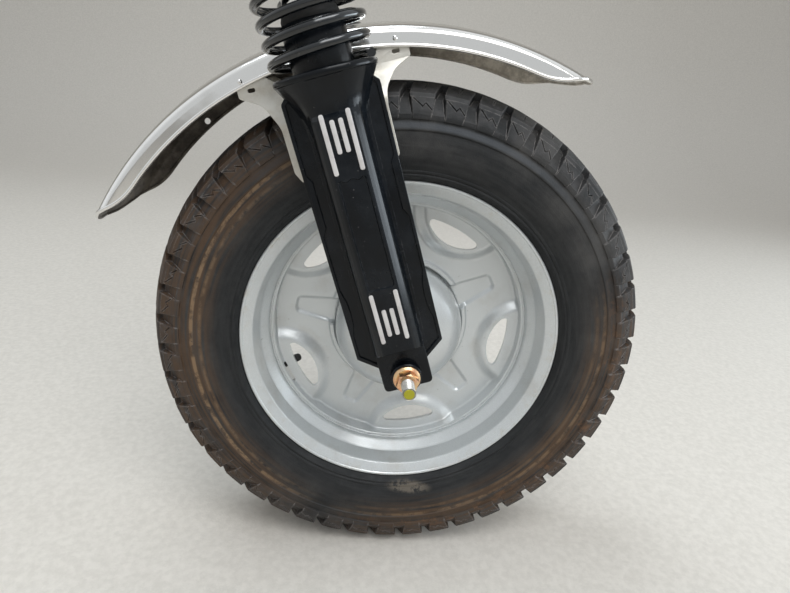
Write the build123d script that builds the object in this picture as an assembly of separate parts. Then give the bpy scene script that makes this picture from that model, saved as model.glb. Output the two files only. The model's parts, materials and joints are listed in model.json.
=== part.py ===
from build123d import *
from math import cos, degrees, radians, sin, sqrt
import os

# Front fork, wheel and mudguard of an electric cargo tricycle, in millimetres.
# X points forward, Y to the vehicle's left and Z up. The wheel is drawn about its own centre.
# The fork is drawn upright about the axle and then leaned back by the rake, so there "u" is
# forward across the leg, "w" is up along the leg and "out" is the distance from the middle
# plane on the vehicle's right, which is -Y. At the end everything moves so that the origin
# lies in the middle of the frame stub's spigot.

# Fork geometry
RAKE = 18.7                 # lean of the legs and of the steering axis, degrees
LEG_SPACING = 210.0         # between the legs' centre lines
YOKE_OFFSET = 38.0          # legs ahead of the steering axis

# Tyre and rim
TYRE_RADIUS = 257.5
TYRE_WIDTH = 110.0
CROWN_RADIUS = 106.0        # of the tread's arc, seen in section
SHOULDER_OUT = 46.6         # tread edge, from the middle plane
TREAD_DEPTH = 7.0
TREAD_GROOVES = [(20.0, 17.0), (7.0, 4.5)]      # outs of each ring groove's two walls
WALL_TABLE = [(9.0, 7.5), (24.0, 1.5), (42.0, 0.0)]     # height above the rim, narrower than the tyre
BLOCK_COUNT = 48
BLOCK_FOOT = 28.5           # height of a shoulder block's side face
BLOCK_FOOT_TUCK = 0.3       # how much narrower than the tyre the blocks' feet are
BLOCK_GAP = 9.0             # between two shoulder blocks, along the tread
BLOCK_GAP_FIRST = 4.2       # angle of the middle of one gap on the right side, degrees
BLOCK_GAP_KNEE = 5.0        # how far below and inside the tread edge the floor of a gap bends
RIM_RADIUS = 166.5
BEAD_RADIUS = 153.0
WELL_RADIUS = 144.0
RIM_WIDTH = 84.0
RIM_SHEET = 3.0
RIM_SEAT_NEAR = 17.0        # inner end of the right bead seat, from the middle plane
RIM_WELL_NEAR = 8.0
RIM_WELL_FAR = -24.0
RIM_SEAT_FAR = -32.0
SEAT_TAPER = 3.7            # how much wider the bead seats are at the flanges
FLANGE_LEAN = 6.5           # how far a flange leans out over its height

# Wheel disc, with its windows, the raised eyes round them and the channels between
DISC_SHEET = 4.0
DISC_PLANE = -15.0          # right face of the disc
DISC_EDGE_OUT = 3.0         # right end of the turned edge that sits in the rim's well
DISC_BEND = 2.0             # slopes in the bends of the sheet
WINDOW_COUNT = 5
WINDOW_FIRST = -7.4         # angle of the first window, degrees
WINDOW_OUTER = 125.0        # radius of a window's outer edge
WINDOW_INNER = 105.5        # nearest point of a window to the axle
WINDOW_BULGE = 46.0         # radius of a window's inner edge
WINDOW_CORNER = 3.5
EYE_CENTRE = 147.0          # middle of the arc round an eye's foot, from the axle
EYE_RADIUS = 57.7
EYE_HEIGHT = 7.0
EYE_SLOPE = 48.0            # lean of an eye's sides from straight, degrees
EYE_WALL = 3.0              # how much narrower an eye's hollow is behind
CHANNEL_ROOT = 33.0         # width at the ridge
CHANNEL_TIP = 20.0          # width at the outer end
CHANNEL_CORNER = 4.0
CHANNEL_DEPTH = 3.0
CHANNEL_END = 117.5
RIDGE_RADIUS = 75.0
RIDGE_WIDTH = 5.0
RIDGE_HEIGHT = 4.0

# Hub with the brake drum
DRUM_RADIUS = 70.0
DRUM_WALL = 7.0
DRUM_FAR = -44.0
DOME_HEIGHT = 36.0
DOME_KNEE_RADIUS = 56.0     # where the dome turns from its flat top to its side
DOME_KNEE_DROP = 10.8
DOME_FOOT = -4.0
NOSE_RADIUS = 21.0
NOSE_CHAMFER = 2.0
NOSE_END = 55.0
AXLE_RADIUS = 6.0
AXLE_END = 154.0            # tip of the axle from the middle plane
SHAFT_GAP = 0.05            # radial clearance where a shaft turns or slides in a hole
FACE_GAP = 0.3              # axial clearance where a turning face meets a fixed one
SPACER_RADIUS = 11.0

# Brake on the vehicle's left
BRAKE_GAP = 2.0
BRAKE_PLATE = 6.0
BRAKE_BOSS_RADIUS = 16.0
BRAKE_BOSS = 8.0
ANCHOR_PEG = 5.0
ANCHOR_EAR = 11.0           # half width of the ear round the peg
ANCHOR_EAR_CORNER = 9.9
ANCHOR_DISTANCE = 80.0
LEVER_PIVOT_U = -34.0
LEVER_PIVOT_W = 30.0
LEVER_LENGTH = 78.0
LEVER_ANGLE = 165.0
LEVER_THICKNESS = 5.0
LEVER_HUB = 9.0
LEVER_TIP = 6.0
LEVER_HOLE = 3.0
LEVER_SHAFT = 8.0

# Lower legs
SLIDER_RADIUS = 26.0
LUG_FOOT = 14.0             # leg below the axle
LUG_INNER = 92.0
LUG_FACE = 116.0
LUG_CORNER = 5.0
COLUMN_WIDTH = 46.0
COLUMN_FRONT = 137.0
COLUMN_FLAT = 26.0          # width of the front face
COLUMN_SHOULDER = 125.0
COLUMN_SHOULDER_WIDTH = 39.0
COLUMN_FOOT = 24.0          # where the raised column starts, above the axle
COLUMN_SLOPE = 9.0
BOSS_RADIUS = 14.5
BOSS_LENGTH = 8.0
WING_WIDTH = 81.0
WING_SHEET = 6.0
WING_FOOT = 23.0
WING_CUT = 14.0             # rise of the sloped lower corners
WING_TOP = 262.0
WING_TOP_CUT = 9.0
WING_CORNER = 2.0
WING_RIM = 3.0
WING_RIM_HEIGHT = 1.5
WING_STEP = 3.8             # how much wider the raised rim is beside the panel
WING_STEP_LOW = 149.0
WING_STEP_HIGH = 189.0
WING_WAIST = 3.6            # how much wider it is at the waist
WING_WAIST_LOW = 60.0
WING_WAIST_HIGH = 76.0
PANEL_LOW = 93.0
PANEL_HIGH = 187.0
PANEL_WIDTH = 21.0
PANEL_DEPTH = 1.5
PANEL_CORNER = 2.0
SEAT_LEVEL = 270.0          # where the spring stands
SEAT_RADIUS = 42.5
SEAT_THICKNESS = 6.0
BELL_FOOT = 212.0           # where the leg starts to widen into the spring seat
BELL_WAIST = 30.0           # radius halfway up
NECK_RADIUS = 25.0
NECK_TOP = 306.0
SEAL_RADIUS = 23.0
SEAL_HEIGHT = 7.0

# Inlaid bars on the lower legs: offset of the pair from the middle, low end, high end
BAR_WIDTH = 3.8
BAR_DEPTH = 1.2
BAR_RISE = 0.4              # how far the bars stand out of the leg
BAR_TABLE = [
    (10.5, 44.5, 90.5),
    (3.4, 50.0, 75.0),
    (10.5, 192.0, 239.0),
    (3.4, 207.5, 233.5),
]

# Springs, covers and upper tubes
STANCHION_RADIUS = 18.5
STANCHION_DIP = 60.0        # length of the tube inside the lower leg
SPRING_RADIUS = 39.0        # to the middle of the wire
SPRING_WIRE = 7.0
SPRING_PITCH = 14.2
SPRING_TURNS = 9.5
COVER_WALL = 2.0
COVER_CLEARANCE = 1.5
COVER_SKIRT = 18.0
COVER_BLOCK = 58.0

# Yokes and steering head
YOKE_THICKNESS = 32.0
UPPER_YOKE_THICKNESS = 14.0
CLAMP_WALL = 10.0
STEM_RADIUS = 14.0
STEM_HUB_WALL = 17.0
CLAMP_SLIT = 3.0
HEAD_LENGTH = 150.0
HEAD_RADIUS = 30.0
HEAD_WALL = 4.0
CUP_FLANGE = 7.0
CUP_INSERT = 10.0
ADJUSTER_RADIUS = 24.0
ADJUSTER_HEIGHT = 9.0
STEM_NUT_ACROSS = 36.0
STEM_NUT_HEIGHT = 12.0
STEM_STICK_OUT = 4.0
CAP_ACROSS = 30.0
CAP_HEIGHT = 8.0
RISER_HOLE_RADIUS = 5.25
RISER_HOLE_SPACING = 90.0
RISER_HOLE_U = -16.0

# Frame stub behind the steering head
STUB_COLLAR_RADIUS = 30.0
STUB_COLLAR_END = 62.0      # behind the steering axis
STUB_RADIUS = 25.0
STUB_WALL = 4.0
STUB_LENGTH = 60.0

# Mudguard and its brackets
GUARD_CENTRE_X = 4.5
GUARD_CENTRE_Z = -32.0
GUARD_RADIUS = 341.0
GUARD_FRONT = 62.4          # angle of the front tip, degrees
GUARD_REAR = 156.3
GUARD_HALF_WIDTH = 58.0
GUARD_SHEET = 1.5
GUARD_CROWN_DROP = 5.0
GUARD_CROWN_HALF = 38.0
GUARD_SHOULDER_DROP = 8.5
GUARD_SHOULDER_HALF = 53.0
GUARD_SKIRT_TOP = 13.0
GUARD_SKIRT_DROP = 25.0
GUARD_LIP = 2.0
GUARD_TIP_RADIUS = 66.0     # seen from above
GUARD_TIP_REACH = 64.0      # length over which the skirts' edge rises to a tip
GUARD_TIP_BULGE = 7.0
BRACKET_SHEET = 2.5
BRACKET_OUT = 72.0          # wheel side of the bracket beside the leg
BRACKET_BEND_LOW = 238.0
BRACKET_BEND_HIGH = 266.0
BRACKET_BOSS_RADIUS = 7.0
BRACKET_BOSS_U = 33.0
BRACKET_BOSS_W = (203.0, 238.0)
BRACKET_OVERLAP = 1.0       # how far the tabs reach into the guard
BRACKET_TAB = GUARD_RADIUS + GUARD_CENTRE_Z - GUARD_SKIRT_DROP + BRACKET_OVERLAP
# Outline of a bracket: up the rear arm, over the tabs as depths below their top, down the front arm
BRACKET_ARM = [(-46, 187), (-50.5, 196), (-50.5, 236)]
BRACKET_REAR_TAB = [(-62, 28), (-81, 18), (-80, 0), (-60, 0), (-34, 23)]
BRACKET_FRONT_TAB = [(34, 23), (50, 0), (72, 0), (73, 19), (57, 26)]
BRACKET_FOOT = [(46, 246), (43.5, 232), (43.5, 190), (37, 184), (-36, 184)]
BRACKET_CORNERS = [3, 6, 20, 20, 4, 4, 8, 10, 10, 8, 4, 4, 12, 20, 10, 3, 6, 6]

# Axle nuts
NUT_FLANGE_RADIUS = 12.5
NUT_FLANGE = 3.0
NUT_ACROSS = 18.0
NUT_HEIGHT = 12.0

# Valve
VALVE_RADIUS = 4.5
VALVE_LENGTH = 20.5
VALVE_SIDE_GAP = 0.5        # to the slope of the rim's well
VALVE_OUT = RIM_WELL_FAR + VALVE_RADIUS + VALVE_SIDE_GAP
VALVE_ANGLE = 205.5
VALVE_SLOT = 26.0           # length of the slot that the disc's edge has for the valve
VALVE_SLOT_ANGLE = 208.6
VALVE_SLOT_TOP = -3.0

# Levels up the fork that follow from the sizes above
LEG_OUT = LEG_SPACING / 2
SPRING_LEVEL = SEAT_LEVEL + SPRING_PITCH * SPRING_TURNS + SPRING_WIRE
COVER_LOW = SPRING_LEVEL - COVER_SKIRT
COVER_TOP = SPRING_LEVEL + COVER_BLOCK
COVER_RADIUS = SPRING_RADIUS + SPRING_WIRE / 2 + COVER_CLEARANCE + COVER_WALL
YOKE_TOP = COVER_TOP + YOKE_THICKNESS
CUP_LOW = YOKE_TOP + FACE_GAP
HEAD_LOW = CUP_LOW + CUP_FLANGE
HEAD_TOP = HEAD_LOW + HEAD_LENGTH
CUP_TOP = HEAD_TOP + CUP_FLANGE
ADJUSTER_LOW = CUP_TOP + FACE_GAP
UPPER_YOKE_LOW = ADJUSTER_LOW + ADJUSTER_HEIGHT
UPPER_YOKE_TOP = UPPER_YOKE_LOW + UPPER_YOKE_THICKNESS
STEM_TOP = UPPER_YOKE_TOP + STEM_NUT_HEIGHT + STEM_STICK_OUT
COLUMN_HALF = COLUMN_WIDTH / 2
WING_HALF = WING_WIDTH / 2
WELL_INNER = WELL_RADIUS - RIM_SHEET
BEYOND = 1.0                # how far a cut runs past the face that it leaves
FROM_LOW = (Align.CENTER, Align.CENTER, Align.MIN)
ACROSS = Axis((0, 0, 0), (0, -1, 0))


def rod(radius, low, high, u=0.0, out=0.0):
    """A round bar along the leg."""
    return Pos(u, -out, low) * Cylinder(radius, high - low, align=FROM_LOW)


def cross_rod(radius, out_low, out_high, u=0.0, w=0.0):
    """A round bar across the vehicle."""
    return Pos(u, -out_low, w) * Rot(90, 0, 0) * Cylinder(radius, out_high - out_low, align=FROM_LOW)


def plate(points, radii, out_low, out_high):
    """A flat piece with its outline in u and w."""
    face = make_face(FilletPolyline(*points, radius=radii, close=True))
    return extrude(Plane.XZ.offset(out_low) * face, amount=out_high - out_low, dir=(0, -1, 0))


def turned(points, arc=360.0):
    """A ring about the axle from radius and out pairs, or a stretch of one."""
    face = make_face(Polyline(*[(r, -out) for r, out in points], close=True))
    return revolve(face, axis=Axis.Y, revolution_arc=arc)


def hexagon(across, low, high):
    return Pos(0, 0, low) * extrude(RegularPolygon(across / 2, 6, major_radius=False), amount=high - low)


def left_of(piece):
    """The same piece on the vehicle's left."""
    return mirror(piece, about=Plane.XZ)


def both_sides(piece):
    return Compound(children=[piece, left_of(piece)])


# Wheel
def flange_points(side):
    """The face of one rim flange that holds the tyre, from the bead seat to its lip."""
    reach = RIM_WIDTH / 2
    return [
        (BEAD_RADIUS + SEAT_TAPER, side * (reach - FLANGE_LEAN - RIM_SHEET / 2)),
        (RIM_RADIUS, side * (reach - RIM_SHEET)),
    ]


def rim():
    reach = RIM_WIDTH / 2
    seat = BEAD_RADIUS - RIM_SHEET
    tyre_side = list(reversed(flange_points(1)))
    tyre_side += [
        (BEAD_RADIUS, RIM_SEAT_NEAR),
        (WELL_RADIUS, RIM_WELL_NEAR),
        (WELL_RADIUS, RIM_WELL_FAR),
        (BEAD_RADIUS, RIM_SEAT_FAR),
    ]
    tyre_side += flange_points(-1)
    hub_side = [
        (RIM_RADIUS, -reach),
        (seat + SEAT_TAPER, FLANGE_LEAN - reach),
        (seat, RIM_SEAT_FAR - RIM_SHEET / 2),
        (WELL_INNER, RIM_WELL_FAR - RIM_SHEET / 2),
        (WELL_INNER, RIM_WELL_NEAR + RIM_SHEET / 2),
        (seat, RIM_SEAT_NEAR + RIM_SHEET / 2),
        (seat + SEAT_TAPER, reach - FLANGE_LEAN),
        (RIM_RADIUS, reach),
    ]
    return turned(tyre_side + hub_side)


def tread_radius(out):
    return TYRE_RADIUS - CROWN_RADIUS + sqrt(CROWN_RADIUS ** 2 - out ** 2)


def tyre():
    """A carcass turned in one piece, with the gaps cut between its shoulder blocks."""
    half = TYRE_WIDTH / 2
    foot = (TYRE_RADIUS - BLOCK_FOOT, half - BLOCK_FOOT_TUCK)
    shoulder = (tread_radius(SHOULDER_OUT), SHOULDER_OUT)
    wall = [(RIM_RADIUS + rise, half - tuck) for rise, tuck in WALL_TABLE]
    side = flange_points(1) + wall + [foot, shoulder]
    for high, low in TREAD_GROOVES:
        side += [
            (tread_radius(high), high),
            (tread_radius(high) - TREAD_DEPTH, high),
            (tread_radius(low) - TREAD_DEPTH, low),
            (tread_radius(low), low),
        ]
    body = turned(side + [(radius, -out) for radius, out in reversed(side)])
    inner = TREAD_GROOVES[0][0] - BEYOND
    outline = [
        (foot[0], half),
        (TYRE_RADIUS + BEYOND, half),
        (TYRE_RADIUS + BEYOND, inner),
        (tread_radius(inner) - TREAD_DEPTH, inner),
        (shoulder[0] - BLOCK_GAP_KNEE, shoulder[1] - BLOCK_GAP_KNEE),
    ]
    arc = degrees(BLOCK_GAP / TYRE_RADIUS)
    gap = turned(outline, arc)
    first = BLOCK_GAP_FIRST + arc / 2
    pitch = 360 / BLOCK_COUNT
    gaps = []
    for number in range(BLOCK_COUNT):
        gaps.append(Rot(0, -(first + number * pitch), 0) * gap)
        gaps.append(Rot(0, -(first + (number + 0.5) * pitch), 0) * left_of(gap))
    return body - gaps


def across_wheel(face, out_low, out_high, taper=0.0):
    return extrude(Plane.XZ.offset(out_low) * face, amount=out_high - out_low, dir=(0, -1, 0), taper=taper)


def window():
    """The outline of a window that points along X."""
    face = Circle(WINDOW_OUTER) & Pos(WINDOW_INNER + WINDOW_BULGE, 0) * Circle(WINDOW_BULGE)
    return fillet(face.vertices(), WINDOW_CORNER)


def eye(level, margin):
    """The raised ground of a window that points along X, from a level up, with sloping sides."""
    face = Pos(EYE_CENTRE, 0) * Circle(EYE_RADIUS - margin)
    mound = across_wheel(face, level, level + EYE_HEIGHT, EYE_SLOPE)
    return mound & across_wheel(Circle(WELL_INNER - DISC_SHEET / 2 - margin), level, level + EYE_HEIGHT)


def channel():
    """The outline of a channel that points along X."""
    root = RIDGE_RADIUS - RIDGE_WIDTH
    outline = Polyline(
        (root, -CHANNEL_ROOT / 2),
        (CHANNEL_END, -CHANNEL_TIP / 2),
        (CHANNEL_END, CHANNEL_TIP / 2),
        (root, CHANNEL_ROOT / 2),
        close=True,
    )
    face = make_face(outline)
    return fillet(face.vertices().sort_by(Axis.X)[-2:], CHANNEL_CORNER)


def wheel_disc():
    """A pressed sheet: what stands out in front is hollow behind, and the other way round."""
    back = DISC_PLANE - DISC_SHEET
    edge_in = WELL_INNER - DISC_SHEET
    ridge_in = RIDGE_RADIUS - RIDGE_WIDTH / 2
    ridge_out = RIDGE_RADIUS + RIDGE_WIDTH / 2
    disc = turned([
        (DRUM_RADIUS, DISC_PLANE),
        (ridge_in - DISC_BEND / 2, DISC_PLANE),
        (ridge_in + DISC_BEND / 2, DISC_PLANE + RIDGE_HEIGHT),
        (ridge_out - DISC_BEND / 2, DISC_PLANE + RIDGE_HEIGHT),
        (ridge_out + DISC_BEND / 2, DISC_PLANE),
        (edge_in - DISC_BEND, DISC_PLANE),
        (edge_in, DISC_PLANE + DISC_BEND),
        (edge_in, DISC_EDGE_OUT),
        (WELL_INNER, DISC_EDGE_OUT),
        (WELL_INNER, back + DISC_BEND),
        (WELL_INNER - DISC_BEND, back),
        (ridge_out, back),
        (ridge_out - DISC_BEND, back + RIDGE_HEIGHT / 2),
        (ridge_in + DISC_BEND, back + RIDGE_HEIGHT / 2),
        (ridge_in, back),
        (DRUM_RADIUS, back),
    ])
    step = 360 / WINDOW_COUNT
    for number in range(WINDOW_COUNT):
        turn = Rot(0, -(WINDOW_FIRST + number * step), 0)
        disc += turn * eye(DISC_PLANE, 0.0)
        disc -= turn * eye(back, EYE_WALL)
        disc -= turn * across_wheel(window(), back - BEYOND, DISC_PLANE + EYE_HEIGHT + BEYOND)
        between = Rot(0, -(WINDOW_FIRST + (number + 0.5) * step), 0)
        ground = DISC_PLANE - CHANNEL_DEPTH
        disc += between * across_wheel(channel(), back - CHANNEL_DEPTH, DISC_PLANE)
        disc -= between * across_wheel(channel(), ground, DISC_PLANE + RIDGE_HEIGHT + BEYOND)
    slot = Pos(WELL_INNER, 0) * Rectangle(2 * (DISC_SHEET + DISC_BEND), VALVE_SLOT)
    return disc - Rot(0, -VALVE_SLOT_ANGLE, 0) * across_wheel(slot, back - BEYOND, VALVE_SLOT_TOP)


def wheel_hub():
    """A drum that is open on the left, with a domed face and a nose on the right."""
    bore = AXLE_RADIUS + SHAFT_GAP
    inner = DRUM_RADIUS - DRUM_WALL
    dome = Spline(
        (NOSE_RADIUS, -DOME_HEIGHT),
        (DOME_KNEE_RADIUS, DOME_KNEE_DROP - DOME_HEIGHT),
        (DRUM_RADIUS, -DOME_FOOT),
        tangents=[(1, 0), (0, 1)],
    )
    rest = Polyline(
        (DRUM_RADIUS, -DOME_FOOT),
        (DRUM_RADIUS, -DRUM_FAR),
        (inner, -DRUM_FAR),
        (inner, -DISC_PLANE),
        (BRAKE_BOSS_RADIUS, -DISC_PLANE),
        (BRAKE_BOSS_RADIUS, -DRUM_FAR),
        (bore, -DRUM_FAR),
        (bore, -NOSE_END),
        (NOSE_RADIUS - NOSE_CHAMFER, -NOSE_END),
        (NOSE_RADIUS, NOSE_CHAMFER - NOSE_END),
        (NOSE_RADIUS, -DOME_HEIGHT),
    )
    return revolve(make_face([dome, rest]), axis=Axis.Y, revolution_arc=360)


def valve():
    """A stem that points from the rim's well to the axle."""
    start = sqrt(WELL_INNER ** 2 - VALVE_RADIUS ** 2)
    stem = Rot(0, 90, 0) * Cylinder(VALVE_RADIUS, VALVE_LENGTH, align=FROM_LOW)
    return Rot(0, -VALVE_ANGLE, 0) * Pos(start - VALVE_LENGTH, -VALVE_OUT, 0) * stem


# Fork below the springs
def wing_ground():
    """The sunk ground of both wings, inside a raised rim that widens in two places."""
    foot = WING_FOOT - WING_CUT + WING_RIM
    edge = WING_HALF - WING_RIM
    right = [
        (COLUMN_HALF, foot),
        (edge, WING_FOOT + WING_RIM),
        (edge, WING_WAIST_LOW - 2 * WING_WAIST),
        (edge - WING_WAIST, WING_WAIST_LOW),
        (edge - WING_WAIST, WING_WAIST_HIGH),
        (edge, WING_WAIST_HIGH + 4 * WING_WAIST),
        (edge, WING_STEP_LOW - 2 * WING_STEP),
        (edge - WING_STEP, WING_STEP_LOW),
        (edge - WING_STEP, WING_STEP_HIGH),
        (edge, WING_STEP_HIGH + 2 * WING_STEP),
        (edge, WING_TOP - WING_TOP_CUT - WING_RIM / 2),
        (WING_HALF - WING_TOP_CUT - WING_RIM / 2, WING_TOP - WING_RIM),
    ]
    return right + [(-u, w) for u, w in reversed(right)]


def lower_leg(with_peg):
    slope_top = COLUMN_FOOT + COLUMN_SLOPE
    half = COLUMN_HALF
    section = make_face(Polyline(
        (-half, -LEG_OUT),
        (-half, -LUG_FACE),
        (-COLUMN_SHOULDER_WIDTH / 2, -COLUMN_SHOULDER),
        (-COLUMN_FLAT / 2, -COLUMN_FRONT),
        (COLUMN_FLAT / 2, -COLUMN_FRONT),
        (COLUMN_SHOULDER_WIDTH / 2, -COLUMN_SHOULDER),
        (half, -LUG_FACE),
        (half, -LEG_OUT),
        close=True,
    ))
    column = Pos(0, 0, COLUMN_FOOT) * extrude(section, amount=WING_TOP - COLUMN_FOOT)
    rise = COLUMN_FRONT - LUG_FACE
    wedge_side = make_face(Polyline(
        (-LUG_FACE, COLUMN_FOOT - BEYOND),
        (-LUG_FACE, COLUMN_FOOT),
        (-COLUMN_FRONT - BEYOND, slope_top + BEYOND * COLUMN_SLOPE / rise),
        (-COLUMN_FRONT - BEYOND, COLUMN_FOOT - BEYOND),
        close=True,
    ))
    column -= extrude(Plane.YZ * wedge_side, amount=half + BEYOND, both=True)
    lug = plate(
        [(-half, -LUG_FOOT), (half, -LUG_FOOT), (half, BELL_FOOT), (-half, BELL_FOOT)],
        [LUG_CORNER, LUG_CORNER, 0, 0],
        LEG_OUT,
        LUG_FACE,
    )
    foot_top = WING_FOOT + WING_CUT
    foot = plate(
        [(-half, -LUG_FOOT), (half, -LUG_FOOT), (half, foot_top), (-half, foot_top)],
        [LUG_CORNER, LUG_CORNER, 0, 0],
        LUG_INNER,
        LEG_OUT,
    )
    wing_points = [
        (-half, WING_FOOT - WING_CUT),
        (half, WING_FOOT - WING_CUT),
        (WING_HALF, WING_FOOT),
        (WING_HALF, WING_TOP - WING_TOP_CUT),
        (WING_HALF - WING_TOP_CUT, WING_TOP),
        (WING_TOP_CUT - WING_HALF, WING_TOP),
        (-WING_HALF, WING_TOP - WING_TOP_CUT),
        (-WING_HALF, WING_FOOT),
    ]
    wing_face = LEG_OUT + WING_SHEET / 2
    wing_corners = [0, 0] + 6 * [WING_CORNER]
    wings = plate(wing_points, wing_corners, LEG_OUT - WING_SHEET / 2, wing_face + WING_RIM_HEIGHT)
    wings -= plate(wing_ground(), 0, wing_face, wing_face + WING_RIM_HEIGHT + BEYOND)
    slider = rod(SLIDER_RADIUS, COLUMN_FOOT, SEAT_LEVEL, 0, LEG_OUT)
    bell_face = make_face([
        ThreePointArc(
            (SLIDER_RADIUS, BELL_FOOT),
            (BELL_WAIST, (BELL_FOOT + SEAT_LEVEL - SEAT_THICKNESS) / 2),
            (SEAT_RADIUS, SEAT_LEVEL - SEAT_THICKNESS),
        ),
        Polyline(
            (SEAT_RADIUS, SEAT_LEVEL - SEAT_THICKNESS),
            (0, SEAT_LEVEL - SEAT_THICKNESS),
            (0, BELL_FOOT),
            (SLIDER_RADIUS, BELL_FOOT),
        ),
    ])
    bell = Pos(0, -LEG_OUT, 0) * revolve(Plane.XZ * bell_face, axis=Axis.Z, revolution_arc=360)
    seat = rod(SEAT_RADIUS, SEAT_LEVEL - SEAT_THICKNESS, SEAT_LEVEL, 0, LEG_OUT)
    neck = rod(NECK_RADIUS, SEAT_LEVEL, NECK_TOP, 0, LEG_OUT)
    leg = column + lug + foot + wings + slider + bell + seat + neck
    leg += cross_rod(BOSS_RADIUS, LUG_FACE, LUG_FACE + BOSS_LENGTH)
    bosses = [
        cross_rod(BRACKET_BOSS_RADIUS, BRACKET_OUT + BRACKET_SHEET, LEG_OUT, side * BRACKET_BOSS_U, w)
        for side in (-1, 1)
        for w in BRACKET_BOSS_W
    ]
    leg += bosses
    if with_peg:
        leg += cross_rod(ANCHOR_PEG, -DRUM_FAR + BRAKE_GAP, LEG_OUT, 0, ANCHOR_DISTANCE)
    panel = plate(
        [(-PANEL_WIDTH / 2, PANEL_LOW), (PANEL_WIDTH / 2, PANEL_LOW),
         (PANEL_WIDTH / 2, PANEL_HIGH), (-PANEL_WIDTH / 2, PANEL_HIGH)],
        PANEL_CORNER,
        COLUMN_FRONT - PANEL_DEPTH,
        COLUMN_FRONT + BEYOND,
    )
    leg -= panel
    leg -= bars(COLUMN_FRONT - BAR_DEPTH, COLUMN_FRONT + BEYOND)
    leg -= cross_rod(AXLE_RADIUS + SHAFT_GAP, LUG_INNER - BEYOND, COLUMN_FRONT)
    leg -= rod(STANCHION_RADIUS + SHAFT_GAP, NECK_TOP - STANCHION_DIP, NECK_TOP + BEYOND, 0, LEG_OUT)
    return leg


def bars(out_low, out_high):
    pieces = []
    for offset, low, high in BAR_TABLE:
        for side in (-1, 1):
            slot = Pos(side * offset, (low + high) / 2) * Rot(0, 0, 90) * SlotOverall(high - low, BAR_WIDTH)
            pieces.append(extrude(Plane.XZ.offset(out_low) * slot, amount=out_high - out_low, dir=(0, -1, 0)))
    return pieces


def leg_bars():
    return Compound(children=bars(COLUMN_FRONT - BAR_DEPTH, COLUMN_FRONT + BAR_RISE))


def dust_seal():
    top = NECK_TOP + SEAL_HEIGHT
    seal = rod(SEAL_RADIUS, NECK_TOP, top, 0, LEG_OUT)
    return seal - rod(STANCHION_RADIUS + SHAFT_GAP, NECK_TOP - BEYOND, top + BEYOND, 0, LEG_OUT)


# Springs and upper tubes
def spring():
    path = Helix(SPRING_PITCH, SPRING_PITCH * SPRING_TURNS, SPRING_RADIUS)
    wire = Plane(origin=path @ 0, z_dir=path % 0) * Circle(SPRING_WIRE / 2)
    coil = sweep(wire, path=path, is_frenet=True)
    return Pos(0, -LEG_OUT, SEAT_LEVEL + SPRING_WIRE / 2) * coil


def spring_cover():
    bore = STANCHION_RADIUS + SHAFT_GAP
    cover = rod(COVER_RADIUS, COVER_LOW, COVER_TOP, 0, LEG_OUT)
    cover -= rod(COVER_RADIUS - COVER_WALL, COVER_LOW - BEYOND, SPRING_LEVEL, 0, LEG_OUT)
    return cover - rod(bore, COVER_LOW, COVER_TOP + BEYOND, 0, LEG_OUT)


def stanchion():
    return rod(STANCHION_RADIUS, NECK_TOP - STANCHION_DIP, UPPER_YOKE_TOP, 0, LEG_OUT)


def stanchion_cap():
    cap = hexagon(CAP_ACROSS, UPPER_YOKE_TOP, UPPER_YOKE_TOP + CAP_HEIGHT)
    return Pos(0, -LEG_OUT, 0) * cap


def yoke(low, thickness):
    clamp = STANCHION_RADIUS + CLAMP_WALL
    hub = STEM_RADIUS + STEM_HUB_WALL
    circles = [
        Pos(0, -LEG_OUT) * Circle(clamp),
        Pos(0, LEG_OUT) * Circle(clamp),
        Pos(-YOKE_OFFSET, 0) * Circle(hub),
    ]
    edges = []
    for circle in circles:
        edges += circle.edges()
    body = Pos(0, 0, low) * extrude(make_hull(edges), amount=thickness)
    top = low + thickness
    for side in (-1, 1):
        body -= rod(STANCHION_RADIUS + SHAFT_GAP, low - BEYOND, top + BEYOND, 0, side * LEG_OUT)
        slit = Pos(clamp / 2 + BEYOND, side * LEG_OUT, low + thickness / 2)
        body -= slit * Box(clamp + 2 * BEYOND, CLAMP_SLIT, thickness + 2 * BEYOND)
    return body - rod(STEM_RADIUS + SHAFT_GAP, low - BEYOND, top + BEYOND, -YOKE_OFFSET)


def upper_yoke():
    body = yoke(UPPER_YOKE_LOW, UPPER_YOKE_THICKNESS)
    low = UPPER_YOKE_LOW - BEYOND
    high = UPPER_YOKE_TOP + BEYOND
    for side in (-1, 1):
        body -= rod(RISER_HOLE_RADIUS, low, high, RISER_HOLE_U, side * RISER_HOLE_SPACING / 2)
    return body


def steering_stem():
    return rod(STEM_RADIUS, COVER_TOP, STEM_TOP, -YOKE_OFFSET)


def ring(outer, low, high):
    body = rod(outer, low, high, -YOKE_OFFSET)
    return body - rod(STEM_RADIUS + SHAFT_GAP, low - BEYOND, high + BEYOND, -YOKE_OFFSET)


def stem_nut():
    top = UPPER_YOKE_TOP + STEM_NUT_HEIGHT
    nut = Pos(-YOKE_OFFSET, 0, 0) * hexagon(STEM_NUT_ACROSS, UPPER_YOKE_TOP, top)
    return nut - rod(STEM_RADIUS + SHAFT_GAP, UPPER_YOKE_TOP - BEYOND, STEM_TOP, -YOKE_OFFSET)


# Steering head, fixed to the vehicle
def head_tube():
    body = rod(HEAD_RADIUS, HEAD_LOW, HEAD_TOP, -YOKE_OFFSET)
    return body - rod(HEAD_RADIUS - HEAD_WALL, HEAD_LOW - BEYOND, HEAD_TOP + BEYOND, -YOKE_OFFSET)


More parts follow.
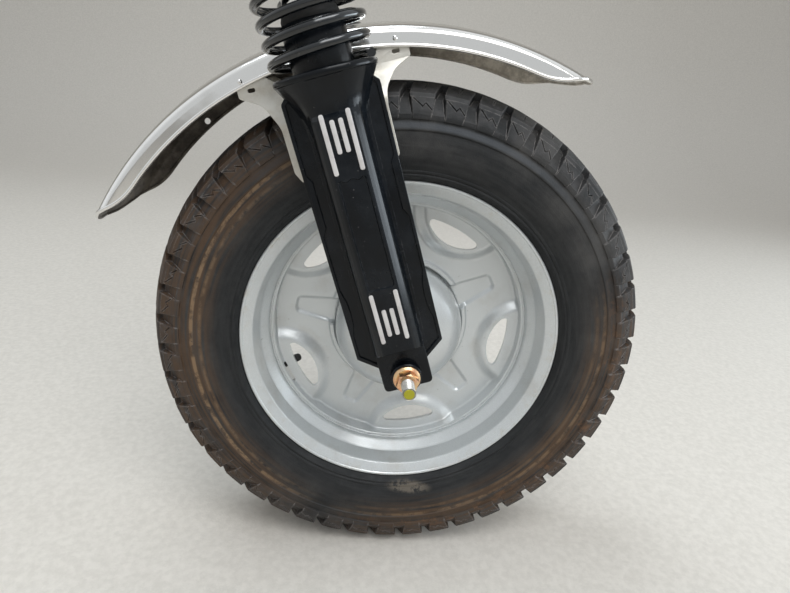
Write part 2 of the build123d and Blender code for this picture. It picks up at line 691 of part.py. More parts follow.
def bearing_cups():
    insert = HEAD_RADIUS - HEAD_WALL - SHAFT_GAP
    lower = ring(HEAD_RADIUS, CUP_LOW, HEAD_LOW) + ring(insert, HEAD_LOW, HEAD_LOW + CUP_INSERT)
    upper = ring(HEAD_RADIUS, HEAD_TOP, CUP_TOP) + ring(insert, HEAD_TOP - CUP_INSERT, HEAD_TOP)
    return Compound(children=[lower, upper])


def frame_stub():
    """The end of the frame's backbone, level and behind the middle of the steering head."""
    lie_back = Rot(0, -90, 0)
    end = STUB_COLLAR_END + STUB_LENGTH
    body = lie_back * Cylinder(STUB_COLLAR_RADIUS, STUB_COLLAR_END, align=FROM_LOW)
    body += lie_back * Cylinder(STUB_RADIUS, end, align=FROM_LOW)
    body -= lie_back * Cylinder(STUB_RADIUS - STUB_WALL, end + BEYOND, align=FROM_LOW)
    return body


# Brake
def brake_plate():
    near = DRUM_FAR - BRAKE_GAP
    far = near - BRAKE_PLATE
    body = cross_rod(DRUM_RADIUS - BRAKE_GAP / 2, far, near)
    body += cross_rod(BRAKE_BOSS_RADIUS, far - BRAKE_BOSS, far)
    ear = ANCHOR_EAR
    top = ANCHOR_DISTANCE + ear
    corner = [0, 0, ANCHOR_EAR_CORNER, ANCHOR_EAR_CORNER]
    body += plate([(-ear, 0), (ear, 0), (ear, top), (-ear, top)], corner, far, near)
    body += cross_rod(LEVER_SHAFT, far - BRAKE_BOSS / 2, far, LEVER_PIVOT_U, LEVER_PIVOT_W)
    body -= cross_rod(ANCHOR_PEG + FACE_GAP, far - BEYOND, near + BEYOND, 0, ANCHOR_DISTANCE)
    return body - cross_rod(AXLE_RADIUS + SHAFT_GAP, far - BRAKE_BOSS - BEYOND, near + BEYOND)


def brake_lever():
    base = DRUM_FAR - BRAKE_GAP - BRAKE_PLATE - BRAKE_BOSS / 2
    tip_u = LEVER_PIVOT_U + LEVER_LENGTH * cos(radians(LEVER_ANGLE))
    tip_w = LEVER_PIVOT_W + LEVER_LENGTH * sin(radians(LEVER_ANGLE))
    edges = (Pos(LEVER_PIVOT_U, LEVER_PIVOT_W) * Circle(LEVER_HUB)).edges()
    edges += (Pos(tip_u, tip_w) * Circle(LEVER_TIP)).edges()
    arm = make_hull(edges)
    arm -= Pos(tip_u, tip_w) * Circle(LEVER_HOLE)
    return extrude(Plane.XZ.offset(base - LEVER_THICKNESS) * arm, amount=LEVER_THICKNESS, dir=(0, -1, 0))


# Axle
def axle():
    return cross_rod(AXLE_RADIUS, -AXLE_END, AXLE_END)


def axle_nut():
    seat = LUG_FACE + BOSS_LENGTH
    nut = cross_rod(NUT_FLANGE_RADIUS, seat, seat + NUT_FLANGE)
    nut += Rot(90, 0, 0) * hexagon(NUT_ACROSS, seat + NUT_FLANGE, seat + NUT_HEIGHT)
    return nut - cross_rod(AXLE_RADIUS + SHAFT_GAP, seat - BEYOND, seat + NUT_HEIGHT + BEYOND)


def axle_spacers():
    bore = AXLE_RADIUS + SHAFT_GAP
    hub_face = NOSE_END + FACE_GAP
    brake_face = DRUM_FAR - BRAKE_GAP - BRAKE_PLATE - BRAKE_BOSS
    right = cross_rod(SPACER_RADIUS, hub_face, LUG_INNER)
    right -= cross_rod(bore, hub_face - BEYOND, LUG_INNER + BEYOND)
    left = cross_rod(SPACER_RADIUS, -LUG_INNER, brake_face)
    left -= cross_rod(bore, -LUG_INNER - BEYOND, brake_face + BEYOND)
    return Compound(children=[right, left])


# Mudguard
def guard_section():
    outer = [
        (GUARD_RADIUS, 0.0),
        (GUARD_RADIUS - GUARD_CROWN_DROP, GUARD_CROWN_HALF),
        (GUARD_RADIUS - GUARD_SHOULDER_DROP, GUARD_SHOULDER_HALF),
        (GUARD_RADIUS - GUARD_SKIRT_TOP, GUARD_HALF_WIDTH),
        (GUARD_RADIUS - GUARD_SKIRT_DROP, GUARD_HALF_WIDTH),
    ]
    inner = [
        (GUARD_RADIUS - GUARD_SKIRT_DROP, GUARD_HALF_WIDTH - GUARD_SHEET),
        (GUARD_RADIUS - GUARD_SKIRT_TOP - GUARD_SHEET / 2, GUARD_HALF_WIDTH - GUARD_SHEET),
        (GUARD_RADIUS - GUARD_SHOULDER_DROP - GUARD_SHEET, GUARD_SHOULDER_HALF - GUARD_SHEET),
        (GUARD_RADIUS - GUARD_CROWN_DROP - GUARD_SHEET, GUARD_CROWN_HALF - GUARD_SHEET / 2),
        (GUARD_RADIUS - GUARD_SHEET, 0.0),
    ]
    half = make_face(Polyline(*outer, *inner, close=True))
    lip_out = GUARD_HALF_WIDTH + GUARD_LIP - GUARD_SHEET
    half += Pos(GUARD_RADIUS - GUARD_SKIRT_DROP, lip_out) * Circle(GUARD_LIP)
    return half + mirror(half, about=Plane.XZ)


def mudguard():
    span = GUARD_REAR - GUARD_FRONT
    guard = revolve(guard_section(), axis=ACROSS, revolution_arc=span)
    middle = GUARD_RADIUS - GUARD_SKIRT_DROP / 2
    width = 2 * (GUARD_HALF_WIDTH + 3 * GUARD_LIP)
    block = Pos(middle, 0, 0) * Box(2 * GUARD_SKIRT_DROP, width, 2 * GUARD_TIP_RADIUS)
    round_end = Rot(0, 90, 0) * Cylinder(GUARD_TIP_RADIUS, 3 * GUARD_SKIRT_DROP)
    trim = block - Pos(middle, 0, GUARD_TIP_RADIUS) * round_end
    skirt_edge = GUARD_RADIUS - GUARD_SKIRT_DROP - GUARD_LIP
    sag = GUARD_RADIUS - sqrt(GUARD_RADIUS ** 2 - GUARD_TIP_REACH ** 2)
    side_face = make_face([
        ThreePointArc(
            (GUARD_RADIUS - GUARD_SHEET, 0),
            ((GUARD_RADIUS + skirt_edge - sag) / 2 - GUARD_TIP_BULGE, GUARD_TIP_REACH / 2),
            (skirt_edge - sag, GUARD_TIP_REACH),
        ),
        Polyline(
            (skirt_edge - sag, GUARD_TIP_REACH),
            (skirt_edge - GUARD_SKIRT_DROP, GUARD_TIP_REACH),
            (skirt_edge - GUARD_SKIRT_DROP, -BEYOND),
            (GUARD_RADIUS - GUARD_SHEET, -BEYOND),
            (GUARD_RADIUS - GUARD_SHEET, 0),
        ),
    ])
    trim += extrude(Plane.XZ * side_face, amount=width / 2, both=True)
    guard -= trim
    guard -= Rot(0, -span, 0) * mirror(trim, about=Plane.XY)
    return Pos(GUARD_CENTRE_X, 0, GUARD_CENTRE_Z) * Rot(0, -GUARD_FRONT, 0) * guard


def guard_bracket():
    low, high = BRACKET_BEND_LOW, BRACKET_BEND_HIGH
    top = GUARD_HALF_WIDTH - GUARD_SHEET - BRACKET_SHEET
    beyond = BRACKET_TAB + BRACKET_OUT
    profile = make_face(Polyline(
        (-BRACKET_OUT, 0),
        (-BRACKET_OUT, low),
        (-top, high),
        (-top, beyond),
        (-top - BRACKET_SHEET, beyond),
        (-top - BRACKET_SHEET, high + BEYOND),
        (-BRACKET_OUT - BRACKET_SHEET, low + BEYOND),
        (-BRACKET_OUT - BRACKET_SHEET, 0),
        close=True,
    ))
    bent = extrude(Plane.YZ * profile, amount=BRACKET_OUT + WING_HALF, both=True)
    tabs = [(u, BRACKET_TAB - drop) for u, drop in BRACKET_REAR_TAB + BRACKET_FRONT_TAB]
    points = BRACKET_ARM + tabs + BRACKET_FOOT
    return bent & plate(points, BRACKET_CORNERS, top - BRACKET_SHEET, BRACKET_OUT + 2 * BRACKET_SHEET)


# Assembly
head_middle = (HEAD_LOW + HEAD_TOP) / 2
head_x = -YOKE_OFFSET * cos(radians(RAKE)) - head_middle * sin(radians(RAKE))
head_z = -YOKE_OFFSET * sin(radians(RAKE)) + head_middle * cos(radians(RAKE))
origin_x = head_x - STUB_COLLAR_END - STUB_LENGTH / 2
WHEEL_FRAME = Pos(-origin_x, 0, -head_z)
FORK_FRAME = WHEEL_FRAME * Rot(0, -RAKE, 0)
stub = Pos(head_x - origin_x, 0, 0) * frame_stub()
stub -= FORK_FRAME * rod(HEAD_RADIUS, HEAD_LOW, HEAD_TOP, -YOKE_OFFSET)

pieces = {
    "head_tube": FORK_FRAME * head_tube(),
    "bearing_cups": FORK_FRAME * bearing_cups(),
    "frame_stub": stub,
    "steering_stem": FORK_FRAME * steering_stem(),
    "lower_yoke": FORK_FRAME * yoke(COVER_TOP, YOKE_THICKNESS),
    "upper_yoke": FORK_FRAME * upper_yoke(),
    "bearing_adjuster": FORK_FRAME * ring(ADJUSTER_RADIUS, ADJUSTER_LOW, UPPER_YOKE_LOW),
    "stem_nut": FORK_FRAME * stem_nut(),
    "stanchion_caps": FORK_FRAME * both_sides(stanchion_cap()),
    "dust_seals": FORK_FRAME * both_sides(dust_seal()),
    "mudguard": WHEEL_FRAME * mudguard(),
    "axle": FORK_FRAME * axle(),
    "axle_nuts": FORK_FRAME * both_sides(axle_nut()),
    "axle_spacers": FORK_FRAME * axle_spacers(),
    "brake_plate": FORK_FRAME * brake_plate(),
    "brake_lever": FORK_FRAME * brake_lever(),
    "rim": WHEEL_FRAME * rim(),
    "wheel_disc": WHEEL_FRAME * wheel_disc(),
    "wheel_hub": WHEEL_FRAME * wheel_hub(),
    "tyre": WHEEL_FRAME * tyre(),
    "valve_stem": WHEEL_FRAME * valve(),
}
paired = {
    "stanchion": stanchion(),
    "spring_cover": spring_cover(),
    "leg_bars": leg_bars(),
    "guard_bracket": guard_bracket(),
}
for name, piece in paired.items():
    pieces[name + "_right"] = FORK_FRAME * piece
    pieces[name + "_left"] = FORK_FRAME * left_of(piece)
pieces["spring_right"] = FORK_FRAME * spring()
pieces["spring_left"] = FORK_FRAME * Pos(0, LEG_SPACING, 0) * spring()
pieces["lower_leg_right"] = FORK_FRAME * lower_leg(False)
pieces["lower_leg_left"] = FORK_FRAME * left_of(lower_leg(True))

os.makedirs("parts", exist_ok=True)
for name, piece in pieces.items():
    export_step(piece, "parts/" + name + ".step")
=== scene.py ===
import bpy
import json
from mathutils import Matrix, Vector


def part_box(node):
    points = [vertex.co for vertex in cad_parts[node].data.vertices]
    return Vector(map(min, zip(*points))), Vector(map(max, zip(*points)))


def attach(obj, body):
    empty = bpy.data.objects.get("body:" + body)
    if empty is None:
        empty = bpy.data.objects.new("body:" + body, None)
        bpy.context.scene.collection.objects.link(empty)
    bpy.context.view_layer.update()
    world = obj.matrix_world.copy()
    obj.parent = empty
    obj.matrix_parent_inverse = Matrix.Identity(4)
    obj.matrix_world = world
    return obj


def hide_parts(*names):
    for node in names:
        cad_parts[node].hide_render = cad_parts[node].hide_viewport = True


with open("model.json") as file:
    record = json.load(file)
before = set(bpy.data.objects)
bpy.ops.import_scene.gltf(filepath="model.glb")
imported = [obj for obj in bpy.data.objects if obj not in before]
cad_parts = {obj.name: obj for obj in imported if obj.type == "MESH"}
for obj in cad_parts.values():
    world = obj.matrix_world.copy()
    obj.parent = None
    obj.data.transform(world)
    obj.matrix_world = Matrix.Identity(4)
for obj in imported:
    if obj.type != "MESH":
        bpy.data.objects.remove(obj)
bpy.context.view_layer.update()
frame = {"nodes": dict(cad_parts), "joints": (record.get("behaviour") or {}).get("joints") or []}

import json
from math import asin, atan2, ceil, cos, pi, radians, sin, sqrt, tan

import bmesh
import bpy
from mathutils import Matrix, Vector
from mathutils.geometry import convex_hull_2d

# The front fork, wheel and mudguard of a cargo tricycle. Sizes are in millimetres, and the frames
# below turn them into metres in their place. In the wheel frame x is forward, y is up and z is out
# to the vehicle's right. In the fork frame x is forward across the leg, y is to the vehicle's left
# and z is up along the leg. In the cross frame x and y lie across and along the leg and z is out.
MM = 0.001
joints = {joint["name"]: joint for joint in frame["joints"]}
WHEEL_CENTRE = Vector(joints["wheel_spin"]["pos_m"])
STEERING_AXIS = joints["steering"]["axis"]
RAKE = atan2(-STEERING_AXIS[0], STEERING_AXIS[2])
OUTWARD = Matrix.Rotation(radians(90), 4, "X")
AT_WHEEL = Matrix.Translation(WHEEL_CENTRE)
WHEEL = AT_WHEEL @ OUTWARD @ Matrix.Scale(MM, 4)
FORK = AT_WHEEL @ Matrix.Rotation(-RAKE, 4, "Y") @ Matrix.Scale(MM, 4)
CROSS = FORK @ OUTWARD
LEFT = Matrix.Diagonal((1, -1, 1, 1))
SIDES = {"right": Matrix.Identity(4), "left": LEFT}


def place(x=0.0, y=0.0, z=0.0):
    return Matrix.Translation((x, y, z))


def fork_level(node, highest=True):
    """The highest or lowest point of a node along the leg, in the fork frame."""
    levels = [(FORK.inverted() @ vertex.co).z for vertex in frame["nodes"][node].data.vertices]
    return max(levels) if highest else min(levels)


# Sizes from the frame
tyre_low, tyre_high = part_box("tyre")
TYRE_RADIUS = (tyre_high.z - tyre_low.z) / 2 / MM
TYRE_HALF = tyre_high.y / MM
LEG_OUT = -(FORK.inverted() @ Vector(sum(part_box("stanchion_right"), Vector()) / 2)).y
SEAT_LEVEL = fork_level("spring_right", highest=False)
COVER_TOP = fork_level("spring_cover_right")
COVER_LOW = fork_level("spring_cover_right", highest=False)
YOKE_TOP = fork_level("lower_yoke")
HEAD_LOW = fork_level("head_tube", highest=False)
HEAD_TOP = fork_level("head_tube")
UPPER_YOKE_LOW = fork_level("upper_yoke", highest=False)
UPPER_YOKE_TOP = fork_level("upper_yoke")
STEM_TOP = fork_level("steering_stem")
AXLE_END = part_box("axle")[1].y / MM
YOKE_OFFSET = -(FORK.inverted() @ Vector(joints["steering"]["pos_m"])).x

# Sizes and places that several pieces share
CLEARANCE = 0.1
AXLE_BORE = 6.0 + CLEARANCE
STEM_RADIUS = 14.0
STEM_BORE = STEM_RADIUS + CLEARANCE
TUBE_RADIUS = 18.5
TUBE_BORE = TUBE_RADIUS + CLEARANCE
BOLT_ACROSS = 10.0
BRACKET_BOLTS = [(side * 33.0, level) for side in (-1, 1) for level in (203.0, 238.0)]
GUARD_RADIUS = 341.0
GUARD = WHEEL @ place(4.5, -32.0)
GUARD_CENTRE = GUARD.translation
LEG = FORK @ place(0, -LEG_OUT)
STEM = FORK @ place(-YOKE_OFFSET)


# Shapes, each a list of points and a list of faces
def ease(value):
    value = min(max(value, 0.0), 1.0)
    return value * value * (3 - 2 * value)


def fillet(points, radii, steps=5, closed=True):
    """Rounds the corners of an outline."""
    count = len(points)
    if not isinstance(radii, (list, tuple)):
        radii = [radii] * count
    rounded = []
    for number, (point, radius) in enumerate(zip(points, radii)):
        corner = Vector(point)
        if radius == 0 or (not closed and number in (0, count - 1)):
            rounded.append(tuple(corner))
            continue
        before = Vector(points[number - 1]) - corner
        after = Vector(points[(number + 1) % count]) - corner
        half_angle = before.angle(after) / 2
        reach = min(radius / tan(half_angle), before.length * 0.48, after.length * 0.48)
        start = corner + before.normalized() * reach
        end = corner + after.normalized() * reach
        for step in range(steps + 1):
            t = step / steps
            rounded.append(tuple(start * (1 - t) ** 2 + corner * (2 * t * (1 - t)) + end * t * t))
    return rounded


def circle(radius, x=0.0, y=0.0, count=48):
    angles = [2 * pi * step / count for step in range(count)]
    return [(x + radius * cos(angle), y + radius * sin(angle)) for angle in angles]


def rectangle(x_low, x_high, y_low, y_high, radius=0.0, steps=5):
    corners = [(x_low, y_low), (x_high, y_low), (x_high, y_high), (x_low, y_high)]
    return fillet(corners, radius, steps)


def hexagon(across):
    return circle(across / sqrt(3), count=6)


def hull(points):
    return [points[index] for index in convex_hull_2d(points)]


def grow(outline, distance):
    """Moves an outline that runs anticlockwise outwards."""
    grown = []
    for number, (x, y) in enumerate(outline):
        before = Vector(outline[number - 1])
        after = Vector(outline[(number + 1) % len(outline)])
        along = (after - before).normalized()
        grown.append((x + along.y * distance, y - along.x * distance))
    return grown


def grid_faces(rows, columns, closed_rows=False, closed_columns=False):
    faces = []
    for row in range(rows if closed_rows else rows - 1):
        for column in range(columns if closed_columns else columns - 1):
            next_row = (row + 1) % rows * columns
            next_column = (column + 1) % columns
            start = row * columns
            faces.append((start + column, next_row + column, next_row + next_column, start + next_column))
    return faces


def lathe(profile, where, turns=96):
    """A ring from radius and height pairs, turned about the place's z axis."""
    points = []
    for step in range(turns):
        angle = 2 * pi * step / turns
        for radius, height in profile:
            points.append(where @ Vector((radius * cos(angle), radius * sin(angle), height)))
    return points, grid_faces(turns, len(profile), True, True)


def turned(profile, soft, where, turns=96, steps=3):
    """A ring with rounded corners."""
    return lathe(fillet(profile, soft, steps), where, turns)


def rod(radius, low, high, where, edge=0.6, bore=0.0, turns=64):
    """A round bar or tube with rounded rims."""
    edge = min(edge, (high - low) / 3)
    profile = [(bore, low), (radius, low), (radius, high), (bore, high)]
    return turned(profile, [0, edge, edge, 0], where, turns)


def loft(sections, where):
    """Joins closed sections that have the same number of points, with a cap at each end."""
    count = len(sections[0])
    points = [where @ Vector(point) for section in sections for point in section]
    faces = grid_faces(len(sections), count, False, True)
    faces.append(tuple(range(count)))
    faces.append(tuple(range(len(points) - count, len(points))))
    return points, faces


def prism(outline, low, high, where):
    """A bar with the same outline all along."""
    return loft([[(x, y, level) for x, y in outline] for level in (low, high)], where)


def plate(loops, low, high, where, edge=0.5, steps=2):
    """A flat piece with rounded edges. The first loop is its outline and the others are holes."""
    curve = bpy.data.curves.new("outline", "CURVE")
    curve.dimensions = "2D"
    curve.fill_mode = "BOTH"
    curve.extrude = (high - low) / 2 - edge
    curve.bevel_depth = edge
    curve.bevel_resolution = steps
    curve.offset = -edge
    for loop in loops:
        spline = curve.splines.new("POLY")
        spline.points.add(len(loop) - 1)
        for point, (x, y) in zip(spline.points, loop):
            point.co = (x, y, 0, 1)
        spline.use_cyclic_u = True
    holder = bpy.data.objects.new("outline", curve)
    mesh = bpy.data.meshes.new_from_object(holder)
    middle = where @ place(z=(low + high) / 2)
    points = [middle @ vertex.co for vertex in mesh.vertices]
    faces = [tuple(face.vertices) for face in mesh.polygons]
    bpy.data.objects.remove(holder)
    bpy.data.curves.remove(curve)
    bpy.data.meshes.remove(mesh)
    return points, faces


def tube(path, radius, sides=16, closed=False, up=Vector((0, 0, 1))):
    """A round wire along a path of points."""
    count = len(path)
    points = []
    for number, here in enumerate(path):
        before = path[number - 1] if number or closed else here
        after = path[(number + 1) % count] if number < count - 1 or closed else here
        along = (after - before).normalized()
        across = along.cross(up).normalized()
        over = across.cross(along)
        for side in range(sides):
            angle = 2 * pi * side / sides
            points.append(here + (across * cos(angle) + over * sin(angle)) * radius)
    faces = grid_faces(count, sides, closed, True)
    if not closed:
        faces.append(tuple(range(sides)))
        faces.append(tuple(range(len(points) - sides, len(points))))
    return points, faces


def moved(shape, where):
    return [where @ Vector(point) for point in shape[0]], shape[1]


def joined(shapes):
    points, faces = [], []
    for shape_points, shape_faces in shapes:
        start = len(points)
        points += shape_points
        faces += [tuple(start + index for index in face) for face in shape_faces]
    return points, faces


def clean_mesh(name, shapes):
    mesh = bpy.data.meshes.new(name)
    points, faces = joined(shapes)
    mesh.from_pydata([tuple(point) for point in points], [], faces)
    edit = bmesh.new()
    edit.from_mesh(mesh)
    bmesh.ops.remove_doubles(edit, verts=edit.verts, dist=2e-6)
    bmesh.ops.dissolve_degenerate(edit, edges=edit.edges, dist=1e-6)
    bmesh.ops.recalc_face_normals(edit, faces=edit.faces)
    edit.to_mesh(mesh)
    edit.free()
    return mesh


def add_object(name, data):
    made = bpy.data.objects.new(name, data)
    bpy.context.scene.collection.objects.link(made)
    return made


def cut(shapes, cutters):
    """Takes the cutters out of the shapes and gives back one shape."""
    body = add_object("body", clean_mesh("body", shapes))
    cutter = add_object("cutter", clean_mesh("cutter", cutters))
    boolean = body.modifiers.new("cut", "BOOLEAN")
    boolean.operation = "DIFFERENCE"
    boolean.solver = "EXACT"
    boolean.object = cutter
    depsgraph = bpy.context.evaluated_depsgraph_get()
    mesh = bpy.data.meshes.new_from_object(body.evaluated_get(depsgraph))
    points = [vertex.co.copy() for vertex in mesh.vertices]
    faces = [tuple(face.vertices) for face in mesh.polygons]
    for holder in (body, cutter):
        bpy.data.objects.remove(holder)
    bpy.data.meshes.remove(mesh)
    return points, faces


def piece(name, shapes, finish, body, nodes, smooth=35):
    """A visible piece that rides on a body and stands for the named nodes."""
    mesh = clean_mesh(name, shapes)
    mesh.shade_smooth()
    mesh.set_sharp_from_angle(angle=radians(smooth))
    made = add_object(name, mesh)
    mesh.materials.append(FINISHES[finish])
    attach(made, body)
    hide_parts(*nodes)


# Finishes
def add_node(tree, kind, inputs=None, **settings):
    """Adds a shader node. Each of its inputs takes a value or another node's output."""
    node = tree.nodes.new(kind)
    for setting, value in settings.items():
        setattr(node, setting, value)
    for socket, value in (inputs or {}).items():
        if isinstance(value, bpy.types.NodeSocket):
            tree.links.new(value, node.inputs[socket])
        else:
            node.inputs[socket].default_value = value
    return node


class Finish:
    """A procedural material whose colour, roughness and bump are added step by step."""

    def __init__(self, name, **constants):
        self.material = bpy.data.materials.new(name)
        self.material.use_nodes = True
        self.tree = self.material.node_tree
        self.shader = self.tree.nodes["Principled BSDF"]
        for socket, value in constants.items():
            self.shader.inputs[socket.replace("_", " ")].default_value = value
        self.position = self.add("ShaderNodeTexCoord").outputs["Object"]
        self.normal = None

    def add(self, kind, inputs=None, **settings):
        return add_node(self.tree, kind, inputs, **settings)

    def noise(self, size_mm, detail=5.0, roughness=0.7, stretch=(1, 1, 1)):
        where = self.add("ShaderNodeMapping", {"Vector": self.position, "Scale": stretch}).outputs[0]
        inputs = {"Vector": where, "Scale": 1 / (size_mm * MM), "Detail": detail, "Roughness": roughness}
        return self.add("ShaderNodeTexNoise", inputs).outputs["Fac"]

    def math(self, operation, first, second=0.0):
        return self.add("ShaderNodeMath", {0: first, 1: second}, operation=operation).outputs[0]

    def times(self, *shares):
        product = shares[0]
        for share in shares[1:]:
            product = self.math("MULTIPLY", product, share)
        return product

    def spread(self, value, low, high, to_low=0.0, to_high=1.0):
        """Maps a value to a new range, smoothly and clamped."""
        inputs = {"Value": value, "From Min": low, "From Max": high, "To Min": to_low, "To Max": to_high}
        return self.add("ShaderNodeMapRange", inputs, interpolation_type="SMOOTHSTEP").outputs["Result"]

    def patches(self, size_mm, low, high, detail=5.0, roughness=0.7):
        """Spots of noise, from 0 between them to 1 inside them."""
        return self.spread(self.noise(size_mm, detail, roughness), low, high)

    def band(self, value, low, high, soft):
        """1 between low and high, fading to 0 over a soft border."""
        rise = self.spread(value, low - soft, low + soft)
        return self.times(rise, self.spread(value, high - soft, high + soft, 1.0, 0.0))

    def mix(self, share, first, second):
        first, second = ((*tint, 1.0) if isinstance(tint, tuple) else tint for tint in (first, second))
        inputs = {0: share, 6: first, 7: second}
        return self.add("ShaderNodeMix", inputs, data_type="RGBA", clamp_factor=True).outputs[2]

    def lay(self, colour, over, *shares):
        """Lays one colour over another, as much as all the shares allow."""
        return self.mix(self.times(*shares), colour, over)

    def vector(self, operation, first, second=None):
        inputs = {0: first} if second is None else {0: first, 1: second}
        return self.add("ShaderNodeVectorMath", inputs, operation=operation).outputs

    def from_axle(self):
        """The way from the axle, square to it."""
        offset = self.vector("SUBTRACT", self.position, WHEEL_CENTRE)["Vector"]
        return self.vector("MULTIPLY", offset, (1, 0, 1))["Vector"]

    def wheel_radius(self):
        """Distance from the axle in millimetres."""
        return self.math("DIVIDE", self.vector("LENGTH", self.from_axle())["Value"], MM)

    def toward(self, angle):
        """Distance from the axle along one direction of the wheel's plane, in millimetres."""
        way = (cos(radians(angle)) / MM, 0, sin(radians(angle)) / MM)
        return self.vector("DOT_PRODUCT", self.from_axle(), way)["Value"]

    def ring_noise(self, radius, size_mm, turns, detail=3.0):
        """Noise drawn out into rings about the axle."""
        way = self.vector("NORMALIZE", self.from_axle())["Vector"]
        way = self.vector("MULTIPLY", way, (turns, turns, turns))["Vector"]
        level = self.add("ShaderNodeCombineXYZ", {"Y": self.math("DIVIDE", radius, size_mm)}).outputs[0]
        where = self.vector("ADD", way, level)["Vector"]
        inputs = {"Vector": where, "Scale": 1.0, "Detail": detail}
        return self.add("ShaderNodeTexNoise", inputs).outputs["Fac"]

    def edges(self, radius_mm, low=0.02, high=0.2):
        """1 along sharp outer edges, from how far the surface turns there."""
        rounded = self.add("ShaderNodeBevel", {"Radius": radius_mm * MM}, samples=4).outputs[0]
        flat = self.add("ShaderNodeNewGeometry").outputs["Normal"]
        turn = self.math("SUBTRACT", 1.0, self.vector("DOT_PRODUCT", rounded, flat)["Value"])
        return self.spread(turn, low, high)

    def bump(self, height, depth_mm):
        inputs = {"Height": height, "Distance": depth_mm * MM}
        if self.normal is not None:
            inputs["Normal"] = self.normal
        self.normal = self.add("ShaderNodeBump", inputs).outputs["Normal"]

    def finish(self, **linked):
        """Links each named output to the shader's input and gives back the material."""
        if self.normal is not None:
            linked["Normal"] = self.normal
        for socket, value in linked.items():
            self.tree.links.new(value, self.shader.inputs[socket.replace("_", " ")])
        return self.material


# Dirt and wear on the tyre's side, and a painted sky sheen on its upper shoulder, each with its colour and
# its inner and outer distance from the axle
DUST, DUST_RADII = (0.062, 0.059, 0.056), (178.0, 205.0)
# Painted highlight: a bluish band that stands for the sky's reflection on the shoulder
SHOULDER_SKY_SHEEN, SKY_SHEEN_RADII = (0.082, 0.090, 0.101), (215.8, 221.0)
MUD, MUD_RADII = (0.070, 0.041, 0.023), (184.0, 207.0)
DRY_MUD, DRY_LINE_RADII, THIN_LINE_RADII = (0.215, 0.140, 0.080), (209.8, 213.4), (202.0, 205.0)
RUST, RUST_RADII = (0.160, 0.080, 0.036), (216.0, 232.0)
CHALK, TREAD_RADII = (0.058, 0.056, 0.058), (223.0, 227.0)
WORN_RUBBER = (0.24, 0.225, 0.215)
SMEAR = (0.17, 0.145, 0.115)
SMEAR_SPOT = Vector((23.0, 0, -176.0)) * MM     # from the axle
SMEAR_FLATNESS = 0.3


def tyre_rubber():
    look = Finish("tyre_rubber", Specular_IOR_Level=0.35)
    radius = look.wheel_radius()
    fine = look.noise(7, 6.0, 0.65)
    rings = look.spread(look.ring_noise(radius, 4.5, 5.0), 0.3, 0.7)
    colour = look.mix(rings, (0.009, 0.010, 0.011), (0.019, 0.020, 0.021))
    clouds = look.patches(60, 0.35, 0.75, roughness=0.6)
    colour = look.lay(colour, DUST, look.spread(radius, *DUST_RADII), clouds, 0.85)
    # Painted sky reflection: the bluish shoulder band, laid on the upper part of the wheel only
    shoulder = look.band(radius, *SKY_SHEEN_RADII, 1.4)
    colour = look.lay(colour, SHOULDER_SKY_SHEEN, shoulder, look.spread(look.toward(88), 120.0, 225.0), 0.55)
    rear = look.spread(look.toward(180), 60.0, 170.0)
    low = look.spread(look.toward(-42), 70.0, 175.0)
    streaks = look.spread(look.ring_noise(radius, 3.2, 3.0, 5.0), 0.30, 0.62)
    muddy = look.math("MAXIMUM", rear, low)
    colour = look.lay(colour, MUD, muddy, look.spread(radius, *MUD_RADII), streaks)
    thin = look.times(look.band(radius, *THIN_LINE_RADII, 1.5), 0.5)
    lines = look.math("MAXIMUM", look.band(radius, *DRY_LINE_RADII, 0.8), thin)
    dried = look.math("MAXIMUM", rear, look.times(low, 0.6))
    colour = look.lay(colour, DRY_MUD, dried, lines, look.patches(14, 0.38, 0.58))
    worn = look.band(radius, *RUST_RADII, 3.0)
    colour = look.lay(colour, RUST, low, worn, look.patches(18, 0.5, 0.68), 0.75)
    offset = look.vector("SUBTRACT", look.from_axle(), SMEAR_SPOT)["Vector"]
    offset = look.vector("MULTIPLY", offset, (SMEAR_FLATNESS / MM, 0, 1 / MM))["Vector"]
    smeared = look.spread(look.vector("LENGTH", offset)["Value"], 4.0, 9.0, 1.0, 0.0)
    colour = look.lay(colour, SMEAR, smeared, look.patches(7, 0.38, 0.52), 0.7)
    tread = look.spread(radius, *TREAD_RADII)
    colour = look.lay(colour, CHALK, tread, look.patches(11, 0.45, 0.70), 0.5)
    worn = look.edges(1.5, 0.01, 0.12)
    colour = look.lay(colour, WORN_RUBBER, worn, tread, look.spread(fine, 0.38, 0.58), 0.7)
    look.bump(look.noise(1.2, 3.0, 0.6), 0.22)
    look.bump(fine, 0.45)
    look.bump(look.ring_noise(radius, 2.6, 1.5), 0.25)
    return look.finish(Base_Color=colour, Roughness=look.spread(fine, 0.2, 0.8, 0.50, 0.72))


def wheel_silver():
    look = Finish("wheel_silver", Metallic=0.45, Specular_IOR_Level=0.5, Coat_Weight=1.0, Coat_Roughness=0.13)
    cloud = look.noise(38, 4.0, 0.6)
    colour = look.mix(look.patches(0.5, 0.35, 0.65, 2.0, 0.6), (0.53, 0.555, 0.56), (0.65, 0.675, 0.68))
    dust = (0.42, 0.40, 0.36)
    colour = look.lay(colour, dust, look.spread(cloud, 0.50, 0.75), 0.35)
    rim_dirt = (0.50, 0.46, 0.38)
    outside = look.spread(look.wheel_radius(), 150.0, 166.0)
    colour = look.lay(colour, rim_dirt, outside, look.patches(9, 0.5, 0.7), 0.45)
    chips = (0.10, 0.09, 0.08)
    colour = look.lay(colour, chips, look.patches(3.2, 0.74, 0.78, 2.0, 0.5), 0.5)
    look.bump(look.noise(2.2, 2.0, 0.5), 0.05)
    return look.finish(Base_Color=colour, Roughness=look.spread(cloud, 0.3, 0.7, 0.32, 0.42))


